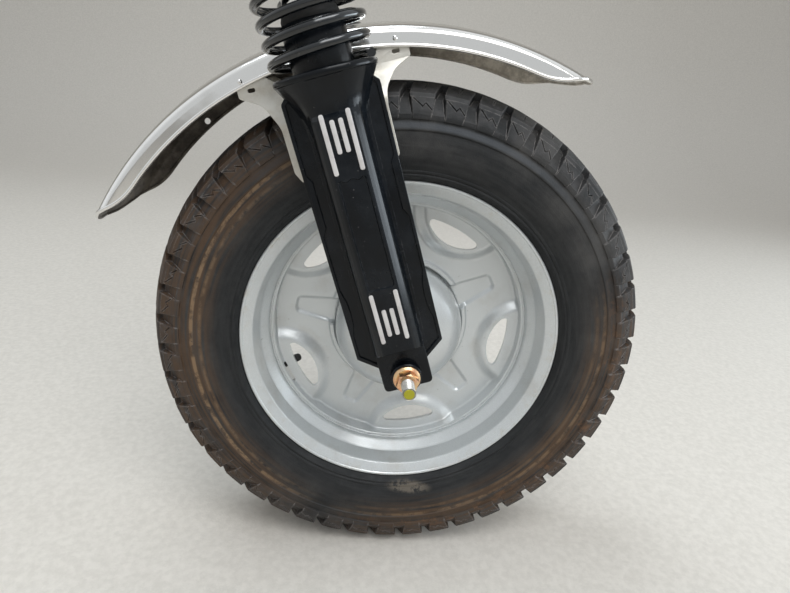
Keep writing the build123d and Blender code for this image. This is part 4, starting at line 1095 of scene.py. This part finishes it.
def bolt_head(low, high, where, washer=0.0):
    shapes = [plate([hexagon(BOLT_ACROSS)], low, high, where, 0.7)]
    if washer:
        shapes.append(rod(washer, low - 0.3, low + 1.2, where, 0.3, turns=40))
    return shapes


def mirrored(shapes, side):
    return [moved(shape, FORK @ SIDES[side] @ FORK.inverted()) for shape in shapes]


def both_sides(shapes):
    return [*shapes, *mirrored(shapes, "left")]


for side in SIDES:
    leg = mirrored(lower_leg(side == "left"), side)
    piece("leg_casting_" + side, leg, "leg_black", "fork", ["lower_leg_" + side], 32)
    low, high = COLUMN_FRONT - 0.9, COLUMN_FRONT + BAR_RISE
    bars = [plate([outline], low, high, CROSS, 0.45, 3) for outline in bar_outlines()]
    piece("bar_set_" + side, mirrored(bars, side), "bar_silver", "fork", ["leg_bars_" + side])


# Springs and tubes
SPRING_RADIUS = 39.0
SPRING_WIRE = 7.0
SPRING_PITCH = 14.2
COVER_RADIUS = 46.0
COVER_WALL = 2.0
SEAL_RADIUS = 23.0


def spring():
    rise = fork_level("spring_right") - SEAT_LEVEL - SPRING_WIRE
    steps = 900
    path = []
    for step in range(steps + 1):
        level = rise * step / steps
        angle = 2 * pi * level / SPRING_PITCH
        path.append(Vector((SPRING_RADIUS * cos(angle), SPRING_RADIUS * sin(angle), SPRING_WIRE / 2 + level)))
    return moved(tube(path, SPRING_WIRE / 2, 24), LEG @ place(z=SEAT_LEVEL))


def spring_cover():
    inner = COVER_RADIUS - COVER_WALL
    profile = [(TUBE_BORE, COVER_LOW + 25), (inner, COVER_LOW + 25), (inner, COVER_LOW),
               (COVER_RADIUS, COVER_LOW), (COVER_RADIUS, COVER_TOP - 8), (COVER_RADIUS - 4, COVER_TOP),
               (TUBE_BORE, COVER_TOP)]
    return turned(profile, [0, 2, 0.8, 0.8, 4, 4, 0], LEG, 96, 4)


def dust_seal():
    profile = [(TUBE_BORE, NECK_TOP), (SEAL_RADIUS, NECK_TOP), (SEAL_RADIUS, NECK_TOP + 3),
               (SEAL_RADIUS - 1.5, NECK_TOP + 7), (TUBE_BORE, NECK_TOP + 7)]
    return turned(profile, [0, 0.6, 1.5, 1.0, 0.5], LEG, 72)


# Both coils wind the same way, so the left one is moved across and not mirrored
for side in SIDES:
    over = FORK @ place(0, 0 if side == "right" else 2 * LEG_OUT) @ FORK.inverted()
    piece("coil_" + side, [moved(spring(), over)], "spring_black", "fork", ["spring_" + side])
    stanchion = mirrored([rod(TUBE_RADIUS, NECK_TOP - 20, UPPER_YOKE_TOP, LEG, 0.8, turns=96)], side)
    piece("upper_tube_" + side, stanchion, "stanchion_chrome", "fork", ["stanchion_" + side])
    piece("cover_" + side, mirrored([spring_cover()], side), "spring_black", "fork", ["spring_cover_" + side])
piece("wiper_seals", both_sides([dust_seal()]), "seal_rubber", "fork", ["dust_seals"])


# Yokes and steering
CLAMP_RADIUS = 28.5
STEM_HUB_RADIUS = 31.0
HEAD_RADIUS = 30.0
HEAD_BORE = 26.0
CUP_FLANGE = 7.0
RISER_SPOT = Vector((-16.0, 45.0))
RISER_BORE = 5.25
SLIT_HALF = 1.5
CLAMP_BOLT = 24.5           # how far forward the bolt that closes a clamp is
CLAMP_BOLT_END = 21.0
ADJUSTER_RADIUS = 24.0
ADJUSTER_HEIGHT = 9.0
NOTCH_HALF = 3.0
STEM_NUT_ACROSS = 36.0
STEM_NUT_HEIGHT = 12.0
CAP_ACROSS = 30.0
CAP_HEIGHT = 8.0


def yoke(low, high, risers=False):
    outline = circle(STEM_HUB_RADIUS, -YOKE_OFFSET, 0)
    holes = [circle(STEM_BORE, -YOKE_OFFSET, 0)]
    slits = []
    bolts = []
    for side in (-1, 1):
        middle = side * LEG_OUT
        outline += circle(CLAMP_RADIUS, 0, middle)
        holes.append(circle(TUBE_BORE, 0, middle))
        if risers:
            holes.append(circle(RISER_BORE, RISER_SPOT.x, side * RISER_SPOT.y, 32))
        slit = rectangle(14, 40, middle - SLIT_HALF, middle + SLIT_HALF)
        slits.append(prism(slit, low - 5, high + 5, FORK))
        across = FORK @ place(CLAMP_BOLT, middle, (low + high) / 2) @ OUTWARD
        bolts += bolt_head(15, CLAMP_BOLT_END, across, 7)
        bolts += bolt_head(-CLAMP_BOLT_END, -15, across)
        bolts.append(rod(4, -CLAMP_BOLT_END, 16, across, 0.5, turns=32))
    return [cut([plate([hull(outline), *holes], low, high, FORK, 2.0, 3)], slits), *bolts]


def adjuster():
    """The ring that sets the steering's bearings, with four notches for its spanner."""
    top = UPPER_YOKE_LOW
    notches = []
    for turn in range(4):
        toward = STEM @ Matrix.Rotation(turn * pi / 2, 4, "Z")
        notches.append(prism(rectangle(21, 30, -NOTCH_HALF, NOTCH_HALF), top - 7, top - 2, toward))
    return cut([rod(ADJUSTER_RADIUS, top - ADJUSTER_HEIGHT, top, STEM, 0.8, STEM_BORE)], notches)


def stem_nut():
    loops = [hexagon(STEM_NUT_ACROSS), circle(STEM_BORE)]
    return plate(loops, UPPER_YOKE_TOP, UPPER_YOKE_TOP + STEM_NUT_HEIGHT, STEM, 1.2)


def tube_cap():
    return plate([hexagon(CAP_ACROSS)], UPPER_YOKE_TOP, UPPER_YOKE_TOP + CAP_HEIGHT, LEG, 1.4, 3)


def cup(face, out):
    """A bearing cup on one end of the head tube, which stands out up or down."""
    profile = [(STEM_BORE, face), (HEAD_RADIUS, face), (HEAD_RADIUS, face + out * 4),
               (HEAD_RADIUS - 2, face + out * CUP_FLANGE), (STEM_BORE, face + out * CUP_FLANGE)]
    return turned(profile, 0.8, STEM)


def head_tube():
    profile = [(HEAD_BORE, HEAD_LOW), (HEAD_RADIUS, HEAD_LOW), (HEAD_RADIUS, HEAD_TOP), (HEAD_BORE, HEAD_TOP)]
    return turned(profile, 0.8, STEM)


piece("lower_clamp", yoke(COVER_TOP, YOKE_TOP), "fork_black", "fork", ["lower_yoke"])
piece("upper_clamp", yoke(UPPER_YOKE_LOW, UPPER_YOKE_TOP, True), "fork_black", "fork", ["upper_yoke"])
piece("stem", [rod(STEM_RADIUS, COVER_TOP, STEM_TOP, STEM, 1.0)], "plated_steel", "fork", ["steering_stem"])
piece("top_nut", [stem_nut()], "plated_steel", "fork", ["stem_nut"])
piece("adjuster_ring", [adjuster()], "plated_steel", "fork", ["bearing_adjuster"])
piece("tube_caps", both_sides([tube_cap()]), "plated_steel", "fork", ["stanchion_caps"])
piece("head_barrel", [head_tube()], "frame_black", "steering_head", ["head_tube"])
piece("head_cups", [cup(HEAD_LOW, -1), cup(HEAD_TOP, 1)], "plated_steel", "steering_head", ["bearing_cups"])
frame["nodes"]["frame_stub"].data.materials.clear()
frame["nodes"]["frame_stub"].data.materials.append(FINISHES["frame_black"])


# Mudguard
GUARD_FRONT = radians(62.4)
GUARD_REAR = radians(156.3)
GUARD_TIP = 66.0
GUARD_SHEET = 1.5
GUARD_LIP = 1.8
GUARD_STATIONS = 150
GUARD_COLUMNS = 28          # on each side of the crease
GUARD_HOLE = (-218.0, 199.8)
GUARD_RIVETS = [(62.6, 282.4), (-75.2, 280.4)]
RIVET = [(0, 57.5), (2.1, 57.5), (2.1, 58.1), (1.2, 58.9), (0, 59.0)]
GUARD_HALF_SECTION = [(0.0, 0.0), (5.0, 38.0), (8.5, 53.0), (13.0, 58.0), (25.0, 58.0)]


def path_point(path, distance):
    """The point at a distance along a path, and the way on from there."""
    for start, end in zip(path, path[1:]):
        step = Vector(end) - Vector(start)
        if distance <= step.length:
            return Vector(start) + step.normalized() * distance, step.normalized()
        distance -= step.length
    return Vector(path[-1]), (Vector(path[-1]) - Vector(path[-2])).normalized()


def guard_stations():
    """Angles along the mudguard, closer together at its tips, and how wide it is at each as a share."""
    span = (GUARD_REAR - GUARD_FRONT) * GUARD_RADIUS
    stations = []
    for station in range(GUARD_STATIONS + 1):
        share = station / GUARD_STATIONS
        share = (1 - cos(pi * share)) / 2 * 0.6 + share * 0.4
        from_tip = min(share, 1 - share) * span
        width = sqrt(1 - (1 - min(from_tip / GUARD_TIP, 1.0)) ** 2.4)
        stations.append((GUARD_FRONT + (GUARD_REAR - GUARD_FRONT) * share, width))
    return stations


def guard_surfaces():
    """The points of the sheet's outer face and of its inner face, row by row."""
    section = fillet(GUARD_HALF_SECTION, [0, 30, 6, 4, 0], 8, closed=False)
    full = sum((Vector(end) - Vector(start)).length for start, end in zip(section, section[1:]))
    outer, inner = [], []
    for angle, width in guard_stations():
        for column in range(-GUARD_COLUMNS, GUARD_COLUMNS + 1):
            distance = abs(column) / GUARD_COLUMNS * max(full * width, 1.0)
            (drop, across), (way_drop, way_across) = path_point(section, distance)
            side = 1 if column >= 0 else -1
            for points, depth in ((outer, 0.0), (inner, GUARD_SHEET)):
                radius = GUARD_RADIUS - drop - way_across * depth
                out = side * (across - way_drop * depth)
                points.append(GUARD @ Vector((radius * cos(angle), radius * sin(angle), out)))
    return outer, inner


def mudguard():
    """A sheet with rounded ends, its rolled edge, and the rivets that hold the brackets."""
    outer, inner = guard_surfaces()
    rows, columns = GUARD_STATIONS + 1, 2 * GUARD_COLUMNS + 1
    start = len(outer)
    faces = grid_faces(rows, columns)
    faces += [tuple(start + index for index in reversed(face)) for face in faces]
    lefts = [row * columns for row in range(rows)]
    rights = [left + columns - 1 for left in lefts]
    last = lefts[-1]
    borders = [lefts, rights, list(range(columns)), list(range(last, last + columns))]
    for border in borders:
        faces += [(here, after, start + after, start + here) for here, after in zip(border, border[1:])]
    loop = [(outer[index] + inner[index]) / 2 for index in rights + lefts[::-1]]
    lip = tube(loop, GUARD_LIP * MM, 10, True, Vector((0, 1, 0)))
    hole = rod(3.2, -64, -52, WHEEL @ place(*GUARD_HOLE), 0.1, turns=24)
    rivets = [turned(RIVET, [0, 0, 0.3, 0.4, 0], CROSS @ place(*spot), 20) for spot in GUARD_RIVETS]
    return [cut([(outer + inner, faces)], [hole]), lip, *both_sides(rivets)]


piece("guard", mudguard(), "guard_chrome", "fork", ["mudguard"], 50)


# Mudguard brackets
BRACKET_BEND_LOW = 238.0
BRACKET_BEND_HIGH = 266.0
BRACKET_SHIFT = 18.0
BRACKET_SLOTS = [(60.8, 272.6), (-68.2, 271.5)]
SLOT_SIZE = Vector((3.2, 1.7))      # half its length and half its width
WASHER_RADIUS = 7.5


def guard_bracket():
    """A flat plate behind the leg whose upper part bends in over the bend levels."""
    corners = [(-46, 187), (-36, 184), (37, 184), (43.5, 190), (43.5, 232), (46, 246), (57, 259),
               (73, 266), (72, 285), (50, 285), (34, 262), (-34, 262), (-60, 285), (-80, 285),
               (-81, 267), (-62, 257), (-50.5, 236), (-50.5, 196)]
    soft = [3, 6, 6, 3, 10, 20, 12, 4, 4, 8, 10, 10, 8, 4, 4, 20, 20, 6]
    half, high = SLOT_SIZE
    slots = [rectangle(x - half, x + half, y - high, y + high, 1.65, 4) for x, y in BRACKET_SLOTS]
    loops = [fillet(corners, soft, 6), *slots]
    points, faces = plate(loops, BRACKET_OUT, BRACKET_OUT + BRACKET_SHEET, Matrix.Identity(4), 0.7)
    edit = bmesh.new()
    vertices = [edit.verts.new(point) for point in points]
    for face in faces:
        edit.faces.new([vertices[index] for index in face])
    bends = 8
    for step in range(bends + 1):
        level = BRACKET_BEND_LOW + (BRACKET_BEND_HIGH - BRACKET_BEND_LOW) * step / bends
        geometry = [*edit.verts, *edit.edges, *edit.faces]
        bmesh.ops.bisect_plane(edit, geom=geometry, plane_co=(0, level, 0), plane_no=(0, 1, 0))
    edit.verts.index_update()
    bent = []
    for vertex in edit.verts:
        share = (vertex.co.y - BRACKET_BEND_LOW) / (BRACKET_BEND_HIGH - BRACKET_BEND_LOW)
        clear = min(max(share, 0.0), 1.0) * 0.6 + ease(share) * 0.4
        bent.append(CROSS @ Vector((vertex.co.x, vertex.co.y, vertex.co.z - BRACKET_SHIFT * clear)))
    shapes = [(bent, [tuple(vertex.index for vertex in face.verts) for face in edit.faces])]
    edit.free()
    for spot in BRACKET_BOLTS:
        shapes += bolt_head(BRACKET_OUT - 5, BRACKET_OUT - 0.8, CROSS @ place(*spot))
        shapes.append(rod(WASHER_RADIUS, BRACKET_OUT - 1.2, BRACKET_OUT + 0.2, CROSS @ place(*spot), 0.3))
    return shapes


for side in SIDES:
    bracket = mirrored(guard_bracket(), side)
    piece("bracket_" + side, bracket, "bracket_steel", "fork", ["guard_bracket_" + side], 40)


# Axle, nuts, spacers and brake
THREAD_PITCH = 1.5
THREAD_TOP = 5.95
THREAD_ROOT = 5.15
AXLE_NUT_ACROSS = 18.0
SPACER_RADIUS = 11.0
SPACER_ENDS = [(NOSE_END + 0.3, LUG_INNER), (-LUG_INNER, -60)]
PLATE_RADIUS = 69.0
RIB_RING = (60.0, 64.0)     # inner and outer radius of the brake plate's ring
RIB_COUNT = 6
BRAKE_NEAR = -46.0
BRAKE_FAR = -52.0
RIB_DEPTH = 2.5
PIVOT = Vector((-34.0, 30.0))       # of the brake lever
LEVER_ANGLE = radians(165)
LEVER_REACH = 78.0


def axle():
    count = ceil((AXLE_END - 1.4 - BOSS_FACE) / THREAD_PITCH)
    profile = [(0.0, 0.0), (THREAD_TOP, 0.0), (THREAD_TOP, BOSS_FACE)]
    for number in range(count):
        out = BOSS_FACE + number * THREAD_PITCH
        profile += [(THREAD_ROOT, out + 0.1), (THREAD_TOP, out + 0.7), (THREAD_TOP, out + 0.9)]
    profile += [(5.2, AXLE_END - 1.3), (4.6, AXLE_END), (0.0, AXLE_END)]
    return lathe(profile, CROSS, 48)


def axle_nut():
    """A flange, and a chamfered hexagon made by cutting the outside off a ring."""
    seat = CROSS @ place(z=BOSS_FACE)
    flange = [(AXLE_BORE, 0), (12.5, 0), (12.5, 1.6), (10.2, 3.4), (AXLE_BORE, 3.4)]
    ring = [(AXLE_BORE, 3), (10.6, 3), (10.6, 10.8), (9.0, 12), (AXLE_BORE, 12)]
    outside = cut([prism(circle(30, count=6), -5, 20, seat)], [prism(hexagon(AXLE_NUT_ACROSS), -8, 24, seat)])
    return [turned(flange, [0, 0.4, 0.6, 0.4, 0], seat, 64), cut([lathe(ring, seat, 48)], [outside])]


def brake_plate():
    ear = fillet([(-11, 60), (11, 60), (11, 91), (-11, 91)], [0, 0, 9.5, 9.5], 6)
    rib_low, rib_high = BRAKE_FAR - RIB_DEPTH, BRAKE_FAR + 1
    inner, outer = RIB_RING
    ring = [(inner, rib_high), (outer, rib_high), (outer, rib_low), (inner, rib_low)]
    shapes = [
        plate([circle(PLATE_RADIUS, count=96), circle(AXLE_BORE)], BRAKE_FAR, BRAKE_NEAR, CROSS, 1.2, 3),
        plate([ear, circle(PEG_RADIUS + 0.5, 0, ANCHOR_LEVEL, 32)], BRAKE_FAR, BRAKE_NEAR, CROSS, 1.2, 3),
        rod(16, BRAKE_FAR - 8, rib_high, CROSS, 1.5, AXLE_BORE),
        rod(8, BRAKE_FAR - 4, rib_high, CROSS @ place(*PIVOT), 0.8),
        turned(ring, 0.8, CROSS),
    ]
    for number in range(RIB_COUNT):
        spoke = CROSS @ Matrix.Rotation(2 * pi * (number + 0.5) / RIB_COUNT, 4, "Z")
        shapes.append(plate([rectangle(14, outer, -2, 2, 1.5)], rib_low, rib_high, spoke, 0.8))
    return shapes


def brake_lever():
    base = BRAKE_FAR - 4
    tip = PIVOT + Vector((cos(LEVER_ANGLE), sin(LEVER_ANGLE))) * LEVER_REACH
    outline = hull(circle(9, *PIVOT, 40) + circle(6, *tip, 32))
    arm = plate([outline, circle(3, *tip, 24)], base - 5, base, CROSS, 0.9, 3)
    return [arm, *bolt_head(0.0, 4.5, CROSS @ place(*PIVOT, base - 9))]


spacers = [rod(SPACER_RADIUS, low, high, CROSS, 0.6, AXLE_BORE) for low, high in SPACER_ENDS]
piece("axle_rod", both_sides([axle()]), "axle_zinc", "fork", ["axle"])
piece("flange_nuts", both_sides(axle_nut()), "nut_zinc", "fork", ["axle_nuts"])
piece("spacer_tubes", spacers, "plated_steel", "fork", ["axle_spacers"])
piece("backing_plate", brake_plate(), "cast_aluminium", "fork", ["brake_plate"])
piece("lever_arm", brake_lever(), "plated_steel", "fork", ["brake_lever"])


# Floor, light and camera
FLOOR_LEVEL = tyre_low.z
FLOOR_REACH = 9.0
WALL_DISTANCE = 4.0
WALL_BEND = 1.6
SKY_LIGHT = 0.54
SKY_FRONT = 0.66
SKY_BACK = 0.92


def floor():
    """A floor that bends up into a backdrop."""
    profile = [(-FLOOR_REACH, 0.0), (WALL_DISTANCE, 0.0), (WALL_DISTANCE, FLOOR_REACH)]
    curve = [profile[0], *fillet(profile, [0, WALL_BEND, 0], 24, closed=False)[1:]]
    points = [(x, y, FLOOR_LEVEL + z) for y, z in curve for x in (-FLOOR_REACH, FLOOR_REACH)]
    mesh = bpy.data.meshes.new("floor")
    mesh.from_pydata(points, [], grid_faces(len(curve), 2))
    mesh.shade_smooth()
    look = Finish("floor_pale", Roughness=0.85, Specular_IOR_Level=0.2)
    colour = look.mix(look.patches(9, 0.3, 0.7), (0.60, 0.562, 0.508), (0.68, 0.640, 0.582))
    look.bump(look.noise(3, 4.0), 0.4)
    mesh.materials.append(look.finish(Base_Color=colour))
    made = add_object("floor", mesh)


# Each lamp's place, its width and height, its power and its colour
LAMPS = {
    "key": (Vector((0.9, -1.9, 2.0)), (2.2, 2.2), 36.0, (1.0, 0.98, 0.95)),
    "top": (Vector((-0.6, 0.5, 2.3)), (1.7, 1.7), 40.0, (0.86, 0.94, 1.0)),
    "crest": (WHEEL_CENTRE + Vector((0.15, -0.85, 1.5)), (1.1, 0.6), 9.0, (0.90, 0.95, 1.0)),
    "side": (WHEEL_CENTRE + Vector((2.5, 0.15, 0.5)), (1.7, 0.9), 26.0, (0.82, 0.92, 1.0)),
}


def area_light(name, spot, size, power, colour):
    """A lamp that shines at the wheel and isn't seen itself."""
    data = bpy.data.lights.new(name, "AREA")
    data.shape = "RECTANGLE"
    data.size, data.size_y = size
    data.energy = power
    data.color = colour
    lamp = add_object(name, data)
    lamp.visible_camera = False
    lamp.location = spot
    lamp.rotation_euler = (WHEEL_CENTRE - spot).to_track_quat("-Z", "Y").to_euler()


def sky():
    """Soft light from all round. What is seen of it is pale behind the piece and greyer in front."""
    world = bpy.data.worlds.new("studio")
    world.use_nodes = True
    tree = world.node_tree
    lit = tree.nodes["Background"]
    lit.inputs["Color"].default_value = (0.90, 0.95, 1.0, 1.0)
    lit.inputs["Strength"].default_value = SKY_LIGHT
    way = add_node(tree, "ShaderNodeTexCoord").outputs["Generated"]
    ahead = add_node(tree, "ShaderNodeSeparateXYZ", {0: way}).outputs["Y"]
    inputs = {"Value": ahead, "From Min": -0.9, "From Max": 0.1, "To Min": SKY_FRONT, "To Max": SKY_BACK}
    depth = add_node(tree, "ShaderNodeMapRange", inputs, interpolation_type="SMOOTHSTEP").outputs["Result"]
    seen = add_node(tree, "ShaderNodeBackground", {"Color": (0.95, 0.98, 1.0, 1.0), "Strength": depth})
    rays = add_node(tree, "ShaderNodeLightPath").outputs
    shown = rays["Is Camera Ray"]
    for kind in ("Is Glossy Ray", "Is Transmission Ray"):
        shown = add_node(tree, "ShaderNodeMath", {0: shown, 1: rays[kind]}, operation="MAXIMUM").outputs[0]
    blend = add_node(tree, "ShaderNodeMixShader", {0: shown, 1: lit.outputs[0], 2: seen.outputs[0]})
    tree.links.new(blend.outputs[0], tree.nodes["World Output"].inputs["Surface"])
    bpy.context.scene.world = world


CAMERA_SPOT = Vector((-56.0, -587.0, 240.0)) * MM   # from the wheel's centre
CAMERA_YAW = radians(4.78)
CAMERA_PITCH = radians(19.18)
CAMERA_ROLL = radians(-5.05)
CAMERA_LENS = 25.97


def camera():
    data = bpy.data.cameras.new("camera")
    data.lens = CAMERA_LENS
    data.clip_start = 0.02
    level = Vector((cos(CAMERA_YAW), -sin(CAMERA_YAW), 0))
    forward = Vector((sin(CAMERA_YAW), cos(CAMERA_YAW), 0))
    ahead = forward * cos(CAMERA_PITCH) - Vector((0, 0, sin(CAMERA_PITCH)))
    down = ahead.cross(level)
    right = level * cos(CAMERA_ROLL) + down * sin(CAMERA_ROLL)
    up = level * sin(CAMERA_ROLL) - down * cos(CAMERA_ROLL)
    turn = Matrix((right, up, -ahead)).transposed()
    made = add_object("camera", data)
    made.matrix_world = Matrix.Translation(WHEEL_CENTRE + CAMERA_SPOT) @ turn.to_4x4()
    bpy.context.scene.camera = made


floor()
sky()
for name, lamp in LAMPS.items():
    area_light(name, *lamp)
camera()
bpy.context.scene.view_settings.view_transform = "Standard"
